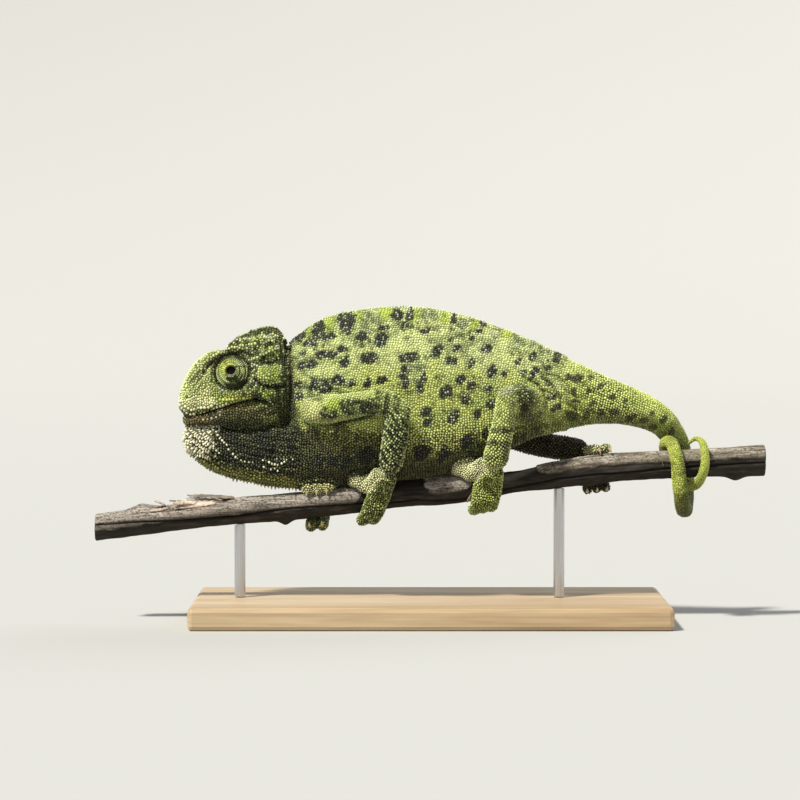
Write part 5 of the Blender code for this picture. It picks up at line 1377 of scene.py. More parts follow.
# ---- finishes
class Finish:
    """A node material with one Principled shader and short helpers for what feeds it."""

    def __init__(self, name, roughness, metallic=0.0):
        self.material = bpy.data.materials.new(name)
        self.material.use_nodes = True
        self.nodes, self.links = self.material.node_tree.nodes, self.material.node_tree.links
        self.shader = self.nodes["Principled BSDF"]
        self.set("Roughness", roughness)
        self.set("Metallic", metallic)

    def set(self, socket, value):
        self.shader.inputs[socket].default_value = value

    def feed(self, socket, output):
        self.links.new(output, self.shader.inputs[socket])

    def node(self, kind, inputs=(), **settings):
        """A node with its settings; each input takes a number, a colour or another node's output."""
        made = self.nodes.new(kind)
        for key, value in settings.items():
            setattr(made, key, value)
        for socket, value in inputs:
            if isinstance(value, bpy.types.NodeSocket):
                self.links.new(value, made.inputs[socket])
            else:
                made.inputs[socket].default_value = value
        return made

    def noise(self, scale, detail=3.0, stretch=(1, 1, 1), roughness=0.55):
        source = self.node("ShaderNodeTexCoord").outputs["Object"]
        places = self.node("ShaderNodeMapping", [("Vector", source), ("Scale", stretch)]).outputs["Vector"]
        inputs = [("Scale", scale), ("Detail", detail), ("Roughness", roughness), ("Vector", places)]
        return self.node("ShaderNodeTexNoise", inputs).outputs["Fac"]

    def span(self, value, low, high, from_low=0.3, from_high=0.7):
        inputs = [("Value", value), ("From Min", from_low), ("From Max", from_high), ("To Min", low),
                  ("To Max", high)]
        return self.node("ShaderNodeMapRange", inputs).outputs["Result"]

    def mix(self, share, first, second, blend="MIX"):
        first, second = ((*c, 1.0) if isinstance(c, tuple) else c for c in (first, second))
        return self.node("ShaderNodeMix", [(0, share), (6, first), (7, second)], data_type="RGBA",
                         blend_type=blend).outputs[2]

    def shade(self, colour, *span):
        """The colour multiplied by a grey that spans from low to high."""
        grey = self.span(*span)
        grey = self.node("ShaderNodeCombineColor", [(k, grey) for k in range(3)]).outputs["Color"]
        return self.mix(1.0, colour, grey, "MULTIPLY")

    def markings(self):
        return self.node("ShaderNodeVertexColor", layer_name="Markings").outputs["Color"]

    def bump(self, height, distance, strength=1.0):
        inputs = [("Strength", strength), ("Distance", distance * MM), ("Height", height)]
        self.feed("Normal", self.node("ShaderNodeBump", inputs).outputs["Normal"])


def scale_finish(name, gloss):
    """Horny scales: their own markings, a little grain and a low shine."""
    f = Finish(name, 0.5)
    fleck = f.shade(f.markings(), f.noise(900, 2), 0.86, 1.10)
    f.feed("Base Color", f.shade(fleck, f.noise(160, 3), 0.90, 1.08))
    f.feed("Roughness", f.span(f.noise(600, 2), gloss - 0.06, gloss + 0.12))
    f.bump(f.noise(2600, 2), 0.03, 0.5)
    return f.material


def bare_skin_finish():
    """The skin between the scales: the same markings, darkened partly as painted shade, and duller."""
    f = Finish("bare_skin", 0.75)
    f.feed("Base Color", f.shade(f.markings(), f.noise(700, 3), 0.75, 1.15))
    f.feed("Roughness", f.span(f.noise(500, 2), 0.66, 0.84))
    f.set("Specular IOR Level", 0.25)
    f.bump(f.noise(1800, 3), 0.06, 0.6)
    return f.material


def horn_finish():
    f = Finish("claw_horn", 0.35)
    share = f.span(f.noise(900, 3, (1, 1, 3)), 0, 1)
    f.feed("Base Color", f.mix(share, paint(196, 182, 140), paint(120, 100, 68)))
    f.set("Coat Weight", 0.3)
    f.bump(f.noise(3000, 2, (1, 1, 4)), 0.02, 0.6)
    return f.material


def eye_finish():
    f = Finish("wet_eye", 0.12)
    f.feed("Base Color", f.shade(f.markings(), f.noise(2500, 2), 0.8, 1.15))
    f.set("Specular IOR Level", 0.12)
    f.set("Coat Weight", 0.08)
    f.set("Coat Roughness", 0.02)
    f.feed("Roughness", f.span(f.noise(1500, 1), 0.10, 0.18))
    return f.material


def bark_finish():
    """Weathered wood: long grey fibres, fine dark checks and paler patches."""
    f = Finish("weathered_bark", 0.85)
    fibre = f.noise(1300, 5, (0.05, 1, 1), 0.7)
    tone = f.shade(f.markings(), fibre, 0.42, 1.30)
    tone = f.shade(tone, f.noise(2600, 3, (0.03, 1, 1), 0.6), 0.60, 1.10, 0.38, 0.52)
    f.feed("Base Color", f.shade(tone, f.noise(260, 4, (0.35, 1, 1)), 0.74, 1.18))
    f.feed("Roughness", f.span(fibre, 0.78, 0.95))
    f.set("Specular IOR Level", 0.25)
    f.bump(fibre, 0.45, 1.0)
    return f.material


def base_finish(settings):
    """Oiled ash with a fine straight grain and a satin sheen."""
    f = Finish("oiled_ash", 0.42)
    growth = f.noise(60, 4, (0.12, 1.6, 1.0), 0.6)
    pores = f.noise(900, 2, (0.03, 1, 1), 0.5)
    share = f.span(growth, 0.0, 1.0, 0.35, 0.65)
    tone = f.mix(share, tuple(settings.wood_pale), tuple(settings.wood_deep))
    f.feed("Base Color", f.shade(tone, pores, 0.86, 1.05, 0.35, 0.6))
    f.feed("Roughness", f.span(growth, 0.36, 0.5))
    f.bump(pores, 0.04, 0.4)
    return f.material


def rod_finish():
    f = Finish("brushed_steel_rod", 0.32, 1.0)
    brushed = f.noise(1400, 2, (1, 1, 0.04), 0.5)
    f.feed("Base Color", f.mix(f.span(brushed, 0, 1), (0.50, 0.50, 0.51), (0.66, 0.66, 0.67)))
    f.feed("Roughness", f.span(brushed, 0.24, 0.42))
    f.bump(brushed, 0.01, 0.4)
    return f.material


def floor_finish(settings):
    f = Finish("pale_floor", 0.9)
    pale = tuple(settings.floor_colour)
    f.feed("Base Color", f.mix(f.noise(1.5, 2), pale, tuple(c * 0.985 for c in pale)))
    f.set("Specular IOR Level", 0.2)
    return f.material


# ---- eyes and claws
TURRET_RADIUS = 6.0
LID_OPENING = 1.5
LID_STRETCH = 1.10        # the opening is a little longer than high
LID_RIDGES = 0.68         # spacing of the fine rings round the lid
LID_MIDDLE = (-70.7, 89.5)
PUPIL_PLACE = (-71.2, 90.1)
# Patches of the lid, with the same columns as those of the head; the bright patch above and in front is
# partly painted light, the dark patch below is partly painted shade, and the dark patch low behind is painted
# shade
LID_PATCHES = (
    (-73.8, 92, 3, 2.6, 1, "lid_bright_and_lit"), (-68.2, 92.8, 2, 1.2, 0.9, "snout_green"),
    (-75.2, 88.4, 1.1, 3, 0.5, "mid_green"), (-69.6, 85.8, 3.4, 2.5, 1, "lid_dark_and_shade"),
    (-66.6, 86.4, 1.8, 1.8, 0.8, "dark"), (-68.4, 91.3, 2.6, 0.35, 0.95, "dark"))


def lid_outline():
    """Side of the lid from its root to the inner edge of the opening, as (radius, height)."""
    line = [(TURRET_RADIUS * math.cos(a), 3.4 + 4.6 * math.sin(a))
            for a in np.radians(np.linspace(-30, 58, 44))]
    r, h = line[-1]
    line += [(r + (LID_OPENING + 0.30 - r) * t, h + (8.95 - h) * t + 0.22 * math.sin(math.pi * t))
             for t in np.linspace(0, 1, 16)[1:]]
    line = np.array(line)
    run = run_of(line)
    out = unit(np.gradient(line, axis=0)) @ np.array([[0, 1], [-1, 0]])
    out *= -1 if out[20][0] < 0 else 1
    wave = 0.03 * np.cos(2 * np.pi * run / LID_RIDGES) * step(0.8, 2.5, run)
    disc, trough = (depth * bell(line[:, 0], at, 0.35) * (line[:, 1] > 4)
                    for depth, at in ((0.24, 4.2), (-0.34, 4.9)))
    line = line + out * (wave + disc + trough)[:, None]
    rim = [(LID_OPENING + 0.13 + 0.15 * math.cos(a), 8.86 + 0.22 * math.sin(a))
           for a in np.radians(np.linspace(70, 250, 10))]
    inner = [(LID_OPENING + 0.02, 8.5), (LID_OPENING + 0.15, 7.9), (LID_OPENING + 0.5, 7.2)]
    return line, np.array(rim + inner)


def turret_frame(side):
    """Where a turret stands: its back, its gaze, and the directions back and up across it."""
    gaze = gaze_of(side)
    back = unit(np.cross(gaze, np.array([0, 0, 1.0])) * side * -1)
    back = back if back[0] > 0 else -back
    up = unit(np.cross(gaze, back))
    return eye_back(side), gaze, back, up if up[2] > 0 else -up


def lid_widening(radius):
    return 1 + (LID_STRETCH - 1) * step(3.0, 1.4, radius)


def turned_mesh(name, profile, side, turns, facing):
    """A turned shape on an eye, rings of the profile about the gaze, and its points."""
    origin, gaze, back, up = turret_frame(side)
    a = 2 * np.pi * np.arange(turns) / turns
    r, h = profile[:, 0], profile[:, 1]
    verts = (origin + gaze * h[:, None, None]
             + back * (r * lid_widening(r))[:, None, None] * np.cos(a)[:, None]
             + up * r[:, None, None] * np.sin(a)[:, None]).reshape(-1, 3)
    quads = ring_quads(len(profile), turns)
    return mesh_from(name, verts, quads if facing > 0 else quads[:, ::-1]), verts


def turn_about(x, z, middle):
    return np.degrees(np.arctan2(z - middle[1], x - middle[0])) % 360


def lid_colours(points, radius, height, speck):
    """Colour round a lid: bright above and in front, partly painted light; dark green below, partly painted
    shade; fine arcs behind; a pale rim, lit on one side as a painted highlight.
    """
    x, _, z = points.T
    wobble = grain(points, 1.6, 2, 5.0)
    colours = patches(plain("casque_green", len(x)), LID_PATCHES, np.ones(len(x)), x, z, wobble, speck)
    from_pupil = np.hypot(x - PUPIL_PLACE[0], z - PUPIL_PLACE[1])
    turn, pupil_turn = turn_about(x, z, LID_MIDDLE), turn_about(x, z, PUPIL_PLACE)
    above = step(20, 40, turn) * step(150, 125, turn)
    low_front = step(178, 195, turn) * step(262, 246, turn)
    behind = step(120, 140, turn) * step(250, 225, turn)
    rear = step(-69.4, -68.4, x) * step(86.2, 87.4, z) * step(91.8, 91.0, z)
    stripe = np.cos(2 * np.pi * (from_pupil + 0.16 * wobble + 0.12 * (z - 89)) / 0.95)
    veins = step(0.16, 0.04, np.abs(grain(points, 1.15, 1, 63.0)))
    veins = veins * step(84, 120, turn) * step(240, 200, turn) * (height > 4)
    arcs = [(share * bell(place, middle, width), tone) for share, place, middle, width, tone in (
        (0.90 * low_front, radius, 4.15, 0.36, "snout_green"),
        (0.80 * above, from_pupil, 2.9, 0.18, "lid_dark_and_shade"), (0.85 * above, radius, 4.3, 0.22, "lid_dark_and_shade"),
        (0.80 * above, radius, 5.4, 0.35, "pale_grey"), (0.75 * (height > 4), radius, 4.85, 0.28, "dark"),
        (0.80 * behind, radius, 5.6, 0.25, "pale_green"))]
    rim = 0.95 * step(2.25, 1.95, from_pupil)
    lit = np.minimum(step(235, 255, pupil_turn) * step(372, 350, pupil_turn), 1)
    return lay(colours, (0.45 * step(0.15, 0.5, wobble), "mid_green"),
               (0.6 * veins, "lid_dark_and_shade"), *arcs,
               (0.9 * rear * step(0.0, 0.6, stripe), "snout_green"),
               (0.9 * rear * step(-0.1, -0.7, stripe), "dark"), (rim, "olive_shade"),
               (rim * lit * step(1.0, 0.7, np.abs(wobble) * 2), "cream"))


def make_lid(label, side, skin_material, scale_material):
    line, inside = lid_outline()
    profile = np.vstack([line, inside])
    turns = 96
    mesh, points = turned_mesh("eyelid_" + label, profile, side, turns, side)
    radius, height = np.repeat(profile, turns, axis=0).T
    under = lid_colours(points, radius, height, np.full(len(points), NO_SCALE))
    set_colours(mesh, np.clip(under * SKIN_SHADE["lid"], 0, 1))
    lid = add_object("lid_" + label, mesh, skin_material)

    curve = line, run_of(line)
    scales = []
    origin, gaze, back, up = turret_frame(side)
    for number, at in enumerate(np.arange(1.4, curve[1][-1] - 0.1, LID_RIDGES)):
        r, h = along_curve(curve, at)
        slope = unit(along_curve(curve, at + 0.1) - (r, h))
        count = int(2 * math.pi * r / LID_RIDGES)
        for m in range(count):
            t = 2 * math.pi * (m + 0.5 * (number % 2)) / count
            c, s = math.cos(t), math.sin(t)
            out = back * c + up * s
            scales.append((*(origin + gaze * h + back * r * lid_widening(r) * c + up * r * s),
                           *(out * slope[1] - gaze * slope[0]), *(out * slope[0] + gaze * slope[1]),
                           t, r, h, at))
    scales = np.array(scales)
    roots, normals, along = scales[:, :3], scales[:, 3:6], scales[:, 6:9]
    turn, radius, height, at = scales[:, 9:].T
    n = len(scales)
    rng = np.random.default_rng(SEED + 5)
    colours = lid_colours(roots, radius, height, rng.uniform(0, 1, n))
    colours = colours * rng.uniform(0.84, 1.10, (n, 1))
    uv = np.stack([turn / 7.0 + 0.02, at / 14.0 + 0.02], axis=-1)
    mesh = scale_mesh("coat_lid_" + label, roots, normals, along,
                      even_outlines(n, LID_RIDGES * 0.48, SEED + 6), np.full(n, 0.24), np.zeros((n, 3)),
                      colours, uv, scale_rings("lid"))
    return lid, add_object("coat_lid_" + label, mesh, scale_material)


def make_eyeball(label, side, material):
    """A wet ball with a clear bulge over a black pupil and a thin gold ring."""
    centre, radius, turns = 4.85, 3.75, 64
    polar = np.radians(np.linspace(90, -60, 60))
    r = radius * np.cos(polar)
    h = centre + radius * np.sin(polar) + 0.12 * bell(r, 0, 1.1)
    r[0] = 0.001
    mesh = turned_mesh("eyeball_" + label, np.stack([r, h], axis=-1), side, turns, -side)[0]
    across = np.repeat(r, turns)
    set_colours(mesh, lay(plain("pupil", len(across)),
                          (step(1.36, 1.42, across) * step(1.52, 1.46, across), "eye_gold"),
                          (step(1.46, 1.54, across), "eye_brown")))
    return add_object("ball_" + label, mesh, material)


def make_claws(foot, material):
    """The hooked claws of one foot, each bent towards the perch."""
    claws = []
    for route in [r for name in BUNDLES if name.startswith(foot) for r in digit_routes(name)]:
        line = curve_through(route)[0]
        tip, ahead = line[-1], unit(line[-1] - line[-2])
        towards = np.array([0, -tip[1], float(smooth(BRANCH_CENTRE, tip[0])) - tip[2]])
        towards = unit(towards - ahead * (towards @ ahead))
        curve = curve_through([tip + ahead * f + towards * d for f, d in CLAW_PATH])
        runs = np.linspace(0, curve[1][-1], 14)
        share = runs / runs[-1]
        size = CLAW_RADIUS * (1 - share**1.4 * 0.93) * (1 + 0.15 * bell(share, 0, 0.2))
        claws.append(swept(along_curve(curve, runs), size, size * 0.8, 12))
    return add_object(foot + "_claws", tubes_mesh(foot + "_claws", claws), material)


# ---- perch
CRACK = (
    (-120, 72), (-107, 82), (-95, 96), (-83, 107), (-70, 110), (-60, 98), (-50, 91), (-40, 95), (-25, 103),
    (-15, 120), (-5, 120), (11, 140), (24, 126), (46, 104), (66, 112), (88, 100), (121, 92))
# Bark that still covers the wood: (from x, to x, middle angle, half angle, thickness)
# The gaps between the plates lie under the body; the near-black of the bare wood there is painted shadow of
# the body.
BARK_PLATES = ((-125, -24.2, 2, 104, 0.45), (-2.4, 16, 16, 80, 0.8), (38.2, 125, 2, 78, 0.62))
BARK_END = 4.0
# A low ridge of the wood on which the belly rests: (x, height)
BELLY_REST = (
    (-42, 0), (-36, 1.1), (-28, 1.2), (-20, 1.3), (-14, 2), (-8, 2), (0, 1.8), (7, 2), (14, 2.2), (19, 1.4),
    (25, 0))
TORN = (-81.5, 10.5, 8, 46)          # middle x, spread, middle angle, spread
# x of the root, angle, length, width, lift, twist, and 1 where it is pink
SPLINTERS = (
    (-70.5, 4, -17, 6.4, 2.5, -4, 0), (-72, -22, -13, 4.6, 2.6, 6, 0), (-74.5, 30, -18.5, 1.9, 0.5, 10, 1),
    (-77, 44, -15, 1.4, 0.5, 6, 1), (-76, 16, -13, 1.7, 1, -10, 1), (-83, 26, -9.4, 2.6, 2.3, 14, 1),
    (-84, 40, -7, 1.2, 1.1, -8, 1), (-95, 18, -4.2, 1.7, 2.8, 8, 1), (-94, 38, -6.6, 1.3, 0.5, 10, 1),
    (-79, 2, -9, 1.4, 1.9, 10, 1), (-88, -14, -6, 1.2, 1.4, 16, 0), (-31, 20, 2.8, 0.8, 1.7, 60, 0),
    (81, 10, 2.6, 0.7, 1.8, 80, 0), (39, 30, 5, 1.6, 0.8, 20, 0), (16.6, 104, -3.4, 3, 1, 30, 0),
    (15, 24, 4, 1.4, 0.6, -18, 0))


def turn_from(angle, middle):
    return (angle - middle + 180) % 360 - 180


def place_share(x, angle, middle_x, spread_x, middle, spread):
    """1 at one place of the branch, falling to 0 round it."""
    return np.exp(-((x - middle_x) / spread_x)**2 - (turn_from(angle, middle) / spread)**2)


def bark_share(x, angle):
    """Thickness of the bark at each place, and 1 where there is any, with ragged round ends."""
    rough = np.array([noise.noise(Vector((a / 4.0, b / 20.0, 3.0))) for a, b in zip(x, angle)])
    thick, share = np.zeros(len(x)), np.zeros(len(x))
    for low, high, middle, half, depth in BARK_PLATES:
        end = np.clip(np.minimum(x - low, high - x) / BARK_END + 0.25 * rough, 0, 1)
        room = half * np.sqrt(1 - (1 - end)**2) + 9 * rough * (end > 0)
        inside = step(0, 10, room - np.abs(turn_from(angle, middle))) * step(0, 0.1, end)
        thick = np.maximum(thick, depth * inside)
        share = np.maximum(share, inside)
    return thick, share


def wood_radius(x, angle):
    """Radius of the bare branch, with its knots and the ridge below the belly."""
    radius = smooth(BRANCH_RADIUS, x)
    for knot_x, knot_angle, spread_x, height in KNOTS:
        radius = radius + height * place_share(x, angle, knot_x, spread_x, knot_angle, 38)
    return radius + np.interp(x, *zip(*BELLY_REST)) * bell(turn_from(angle, -26), 0, 30)


def make_perch_mesh(rows=760, sides=120):
    """The branch: a long split, plates of bark, the torn place at the front and bare wood between."""
    x = np.repeat(np.linspace(*BRANCH_ENDS, rows), sides)
    angle = turn_from(np.tile(360 * np.arange(sides) / sides, rows), 0)
    a = np.radians(angle)
    places = np.stack([x, 5 * np.sin(a), 5 * np.cos(a)], axis=-1)
    fibre = np.array([noise.ridged_multi_fractal(Vector(p), 1.0, 2.1, 4, 1.0, 2.0)
                      for p in places * [0.05, 0.75, 0.75] + 20])
    lumps = grain(places * [0.3, 1, 1], 2.6, 3, 8.0)
    pores = grain(places * [0.7, 1, 1], 0.5, 2, 44.0)
    thick, bark = bark_share(x, angle)
    torn = place_share(x, angle, *TORN)
    push = thick + (fibre - 1.1) * (0.20 + 0.25 * torn) + lumps * 0.22 + 0.07 * pores * bark - 0.30
    crack = np.interp(x, *zip(*CRACK))
    radius = wood_radius(x, angle)
    split, far_split = (bell((angle - at) * radius * np.pi / 180, 0, width)
                        for at, width in ((crack, 0.42), (-crack * 0.9, 0.35)))
    push -= 0.7 * torn
    push -= 1.0 * split + 0.7 * far_split
    rings = around_branch(x, angle, radius + push).reshape(rows, sides, 3)
    for end in (0, -1):
        middle = rings[end].mean(axis=0)
        rings[end] = middle + (rings[end] - middle) * 0.93
    colours = bark_colours(x, angle, bark, torn, fibre, lumps, pores, np.maximum(split, far_split))
    mesh = tubes_mesh("perch_bark", [rings])
    set_colours(mesh, np.vstack([colours, plain("cut_wood", 2)]))
    return mesh


def bark_colours(x, angle, bark, torn, fibre, lumps, pores, split):
    """Lilac-grey bark, darker to the rear and, as painted shade, below; near-black wood, partly painted
    shadow of the body; pink where it is freshly torn; painted shade in the split and the hollow.
    """
    wood = lay(plain("bare_wood_and_shadow", len(x)), (0.5 * step(0.0, 0.5, lumps), "worn_wood"))
    # below: painted shade on the lower side of the bark.
    below = (step(64, 104, np.abs(angle + 8)) * step(40, 30, x)
             + step(44, 84, np.abs(angle)) * step(30, 40, x))
    pale = lay(plain("bark_lilac", len(x)), (step(20, 48, x), "bark_rear"),
               (0.6 * step(0.05, 0.5, lumps), "bark_light"), (0.80 * step(0.02, -0.30, pores), "bark_pore"),
               (0.6 * step(0.9, 0.5, fibre), "bark_fibre"), (0.80 * below, "bark_shade_below"))
    share = bark[:, None]
    # Painted shade in the hollow under the curled bark, on the underside of the branch and in the split.
    hollow = place_share(x, angle, -80, 6, 8, 24)
    return lay(wood * (1 - share) + pale * share, (0.85 * torn * step(-0.3, 0.3, lumps), "torn_wood"),
               (0.85 * step(0.3, 0.7, hollow), "torn_hollow_shade"),
               (0.75 * step(128, 150, np.abs(angle)), "wood_shade_below"), (0.95 * split, "split_shade"))


def make_splinters():
    """Torn shards of bark and small spurs, lifted at one end."""
    tubes, colours = [], []
    rng = np.random.default_rng(SEED + 3)
    steps, sides = 18, 12
    t = np.linspace(0, 1, steps)
    b = 2 * np.pi * np.arange(sides) / sides
    for x0, angle, length, width, lift, twist, pink in SPLINTERS:
        xs, turn = x0 + length * t, angle + twist * t
        rough = rng.normal(0, 0.12, steps)
        centres = around_branch(xs, turn, wood_radius(xs, turn) + 0.1 + lift * t**0.7
                                + 0.10 * rng.normal(size=steps))
        taper = np.sqrt(np.clip(1 - (t * 0.98)**3.5, 0.02, 1)) * (0.55 + 0.45 * step(0, 0.3, t))
        half = (width / 2 * taper * (1 + rough))[:, None]
        a = np.radians(turn)
        out = np.stack([0 * a, -np.sin(a), np.cos(a)], axis=-1)
        across = np.stack([0 * a, -np.cos(a), -np.sin(a)], axis=-1)
        thick = ((0.30 if pink else 0.42) * (1 - 0.45 * t))[:, None]
        rings = (centres[:, None] + across[:, None] * (half * np.cos(b))[..., None]
                 + out[:, None] * (thick * np.sin(b) - 0.16 * half * np.cos(b)**2)[..., None])
        tubes.append(rings if length > 0 else rings[::-1])
        tone = PALETTE["splinter_pink" if pink else "splinter_grey"]
        # The undersides of the shards are darkened: painted shade.
        own = tone * rng.uniform(0.75, 1.1, (steps, 1, 1)) * np.where(np.sin(b) < -0.2, 0.45, 1.0)[:, None]
        colours += [own.reshape(-1, 3), [tone] * 2]
    mesh = tubes_mesh("perch_splinters", tubes)
    set_colours(mesh, np.clip(np.vstack(colours), 0, 1))
    return mesh


# ---- settings
FLESH = [*UPRIGHTS, "head", *LIMBS, *BUNDLES, *("tail_%d" % k for k in range(1, 8))]


class ChameleonSkinSettings(bpy.types.PropertyGroup):
    """Depth of the scales and fineness of the skin below them."""
    coat_depth: bpy.props.FloatProperty(
        name="Coat depth", description="How far the bare skin lies inside the flesh",
        default=0.30 * MM, min=0.1 * MM, max=0.8 * MM, precision=5, unit="LENGTH")
    fineness: bpy.props.FloatProperty(
        name="Fineness", description="Size of the smallest step of the skin's shape",
        default=0.50 * MM, min=0.3 * MM, max=1.0 * MM, precision=5, unit="LENGTH")


class ChameleonScaleSettings(bpy.types.PropertyGroup):
    """Size and shine of the scales."""
    size: bpy.props.FloatProperty(
        name="Size", description="Share of the usual size of a scale", default=1.0, min=0.8, max=1.2,
        subtype="FACTOR")
    gloss: bpy.props.FloatProperty(
        name="Roughness", description="Roughness of a scale's surface", default=0.40, min=0.2, max=0.9,
        subtype="FACTOR")


class ChameleonStandSettings(bpy.types.PropertyGroup):
    """Colours of the display stand's base."""
    wood_pale: bpy.props.FloatVectorProperty(
        name="Pale wood", description="Lighter tone of the base's grain",
        default=paint(206, 184, 150), min=0, max=1, subtype="COLOR")
    wood_deep: bpy.props.FloatVectorProperty(
        name="Deep wood", description="Darker tone of the base's grain",
        default=paint(178, 150, 114), min=0, max=1, subtype="COLOR")


class ChameleonStageSettings(bpy.types.PropertyGroup):
    """Floor, lights and camera of the display."""
    floor_colour: bpy.props.FloatVectorProperty(
        name="Floor", description="Colour of the plain floor", default=(0.50, 0.50, 0.485), min=0,
        max=1, subtype="COLOR")
    key_power: bpy.props.FloatProperty(
        name="Key light", description="Strength of the main light", default=4.7, min=0, max=20)
    fill_power: bpy.props.FloatProperty(
        name="Fill light", description="Strength of the light from all round", default=0.33, min=0,
        max=5)
    distance: bpy.props.FloatProperty(
        name="Distance", description="From the camera to the animal", default=1.2, min=0.3, max=5,
        unit="LENGTH")
    lens: bpy.props.FloatProperty(
        name="Lens", description="Focal length in millimetres", default=150.0, min=20, max=400)


# ---- operators
# How dark the skin between the scales is, as a share of its markings: partly darker skin, partly painted
# shade in the gaps
SKIN_SHADE = {"trunk": 0.62, "limb": 0.13, "head": 0.34, "tail": 0.50, "lid": 0.36}


class ChameleonPiece:
    """Shared by the operators: gives a finished piece its body and hides its nodes; the slot passed to settle
    is not used.
    """
    bl_options = {"REGISTER", "UNDO"}

    def settle(self, piece, slot, nodes=()):
        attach(piece, "root")
        if nodes:
            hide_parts(*nodes)


class OBJECT_OT_chameleon_skin(ChameleonPiece, bpy.types.Operator):
    """Makes the one bare skin that stands for all the flesh"""
    bl_idname = "object.chameleon_skin"
    bl_label = "Bare Skin"

    def execute(self, context):
        settings = context.scene.chameleon_skin
        skin = make_bare_skin(settings.coat_depth / MM, settings.fineness / MM)
        points, normals = shape_of(skin.data)
        x, _, z = points.T
        shade = SKIN_SHADE["limb"]
        for part, share in (("trunk", step(-52, -48, x) * step(62, 48, x) * step(66, 76, z)),
                            ("head", step(-49, -52, x) * step(69, 72, z)), ("tail", step(68, 80, x))):
            shade = shade * (1 - share) + SKIN_SHADE[part] * share
        colours = mark_colours(points, normals, np.full(len(points), NO_SCALE)) * shade[:, None]
        set_colours(skin.data, colours * [1.0, 1.0, 0.7])
        skin.data.materials.append(bare_skin_finish())
        self.settle(skin, "skin", FLESH)
        return {"FINISHED"}


class OBJECT_OT_chameleon_scales(ChameleonPiece, bpy.types.Operator):
    """Covers the skin with rows of domed scales and the crests along the back and the throat"""
    bl_idname = "object.chameleon_scales"
    bl_label = "Scales"

    def execute(self, context):
        skin = bpy.data.objects["skin"]
        material = scale_finish("scales", context.scene.chameleon_scales.gloss)
        rows, names, tones, normals, along = plan_scales(skin, context.scene.chameleon_skin.coat_depth / MM)
        rng = np.random.default_rng(SEED + 1)
        n = len(rows)
        roots = rows[:, :3]
        speck, light, warm = rng.uniform(0, 1, (3, n))
        colours = self.colours(roots, normals, tones, speck, light, 0.10 * (warm - 0.5))
        across = (rows[:, LONG] + rows[:, WIDE]) / 2
        radii, phase = scale_outlines(roots, normals, along, across, rng)
        groups = np.array([COAT_GROUPS.get(name, "limbs") for name in names])
        size = context.scene.chameleon_scales.size
        radii = radii * (size * np.where(groups == "limbs", 0.93, 1.0))[:, None]
        fit = np.clip(radii.mean(axis=1) / (0.46 * across), 0.55, 1.15)
        cones = step(-71.5, -79, roots[:, 0]) * step(70.5, 69, roots[:, 2])
        high = rows[:, HIGH] * rng.uniform(0.80, 1.20, n) * fit * (1 + 1.3 * cones)
        lean = np.array([-0.25, 0, -0.45]) * cones[:, None]
        per = SCALE_SIDES * 2 * len(SCALE_RINGS) - 2
        for group in sorted(set(groups)):
            order = np.nonzero(groups == group)[0]
            places = np.zeros((n, 2))
            places[order] = bake_places(names[order], rows[order][:, [RUN, ARC]])
            side = (roots[order, 1] > 0).astype(int) if group == "limbs" else 0
            order = order[np.argsort(roots[order, 0] + 1000 * side, kind="stable")]
            slot = {"head": "head_skin", "throat": "throat_skin"}.get(group, "skin")
            for k, own in enumerate(np.array_split(order, math.ceil(len(order) * per / PIECE_LIMIT))):
                name = "coat_%s_%d" % (group, k + 1)
                mesh = scale_mesh(name, roots[own], normals[own], along[own], (radii[own], phase[own]),
                                  high[own], lean[own], colours[own], places[own], scale_rings(group))
                self.settle(add_object(name, mesh, material), slot)
        self.crests(skin, material)
        return {"FINISHED"}

    def colours(self, roots, normals, tones, speck, light, warm):
        """The markings of the scales; dark parts hold single pale scales, pale parts stay nearly even."""
        colours = lay(mark_colours(roots, normals, speck), *(
            ((0.9 if tone in ("cream", "pale_grey") else 0.55) * (tones == tone), tone)
            for tone in sorted(set(tones) - {""})))
        amount = 1.15 - 0.75 * step(0.02, 0.45, brightness(colours))
        colours *= (1 + amount * (light**1.5 - 0.40))[:, None]
        return colours * np.stack([1 + warm, np.ones(len(warm)), 1 - warm], axis=-1)

    def crests(self, skin, material):
        """The saw edge of the back, and the white teeth of the throat and the belly."""
        tree = surface_of(skin.data)
        back = ridge_roots(tree, np.arange(-47, 62, 1.2), 130, -1)
        belly = [tooth for tooth in ridge_roots(tree, np.arange(-87, -47, 1.25), 45.5, 1) if tooth[0][2] < 70]
        for name, teeth, height, lean, tone in (
                ("back_crest", back, 0.85, (0.15, 0, 0.1), "pale_green"),
                ("throat_crest", belly, 1.1, (0.1, 0, -0.3), "throat_edge")):
            roots, normals = (np.array(v) for v in zip(*teeth))
            n = len(roots)
            ahead = across_normals(np.tile([1.0, 0, 0], (n, 1)), normals)
            colours = lay(mark_colours(roots, normals, np.full(n, 0.6)), (np.full(n, 0.55), tone))
            fade = 0.45 + 0.55 * step(62, 10, roots[:, 0])
            uv = np.stack([(roots[:, 0] + 100) / 210, np.full(n, 0.5)], axis=-1)
            tall = height * fade * np.random.default_rng(SEED + 10).uniform(0.45, 1.1, n)
            # Crest scales too are painted darker at the root and lighter at the tip: painted shade and
            # highlight.
            mesh = scale_mesh(name, roots, normals, ahead, even_outlines(n, 0.50, SEED + 9), tall,
                              np.tile(lean, (n, 1)), colours, uv,
                              ((1.0, 0.0, 0.3), (0.8, 0.4, 0.9), (0.4, 0.8, 1.0)))
            self.settle(add_object(name, mesh, material), "skin")


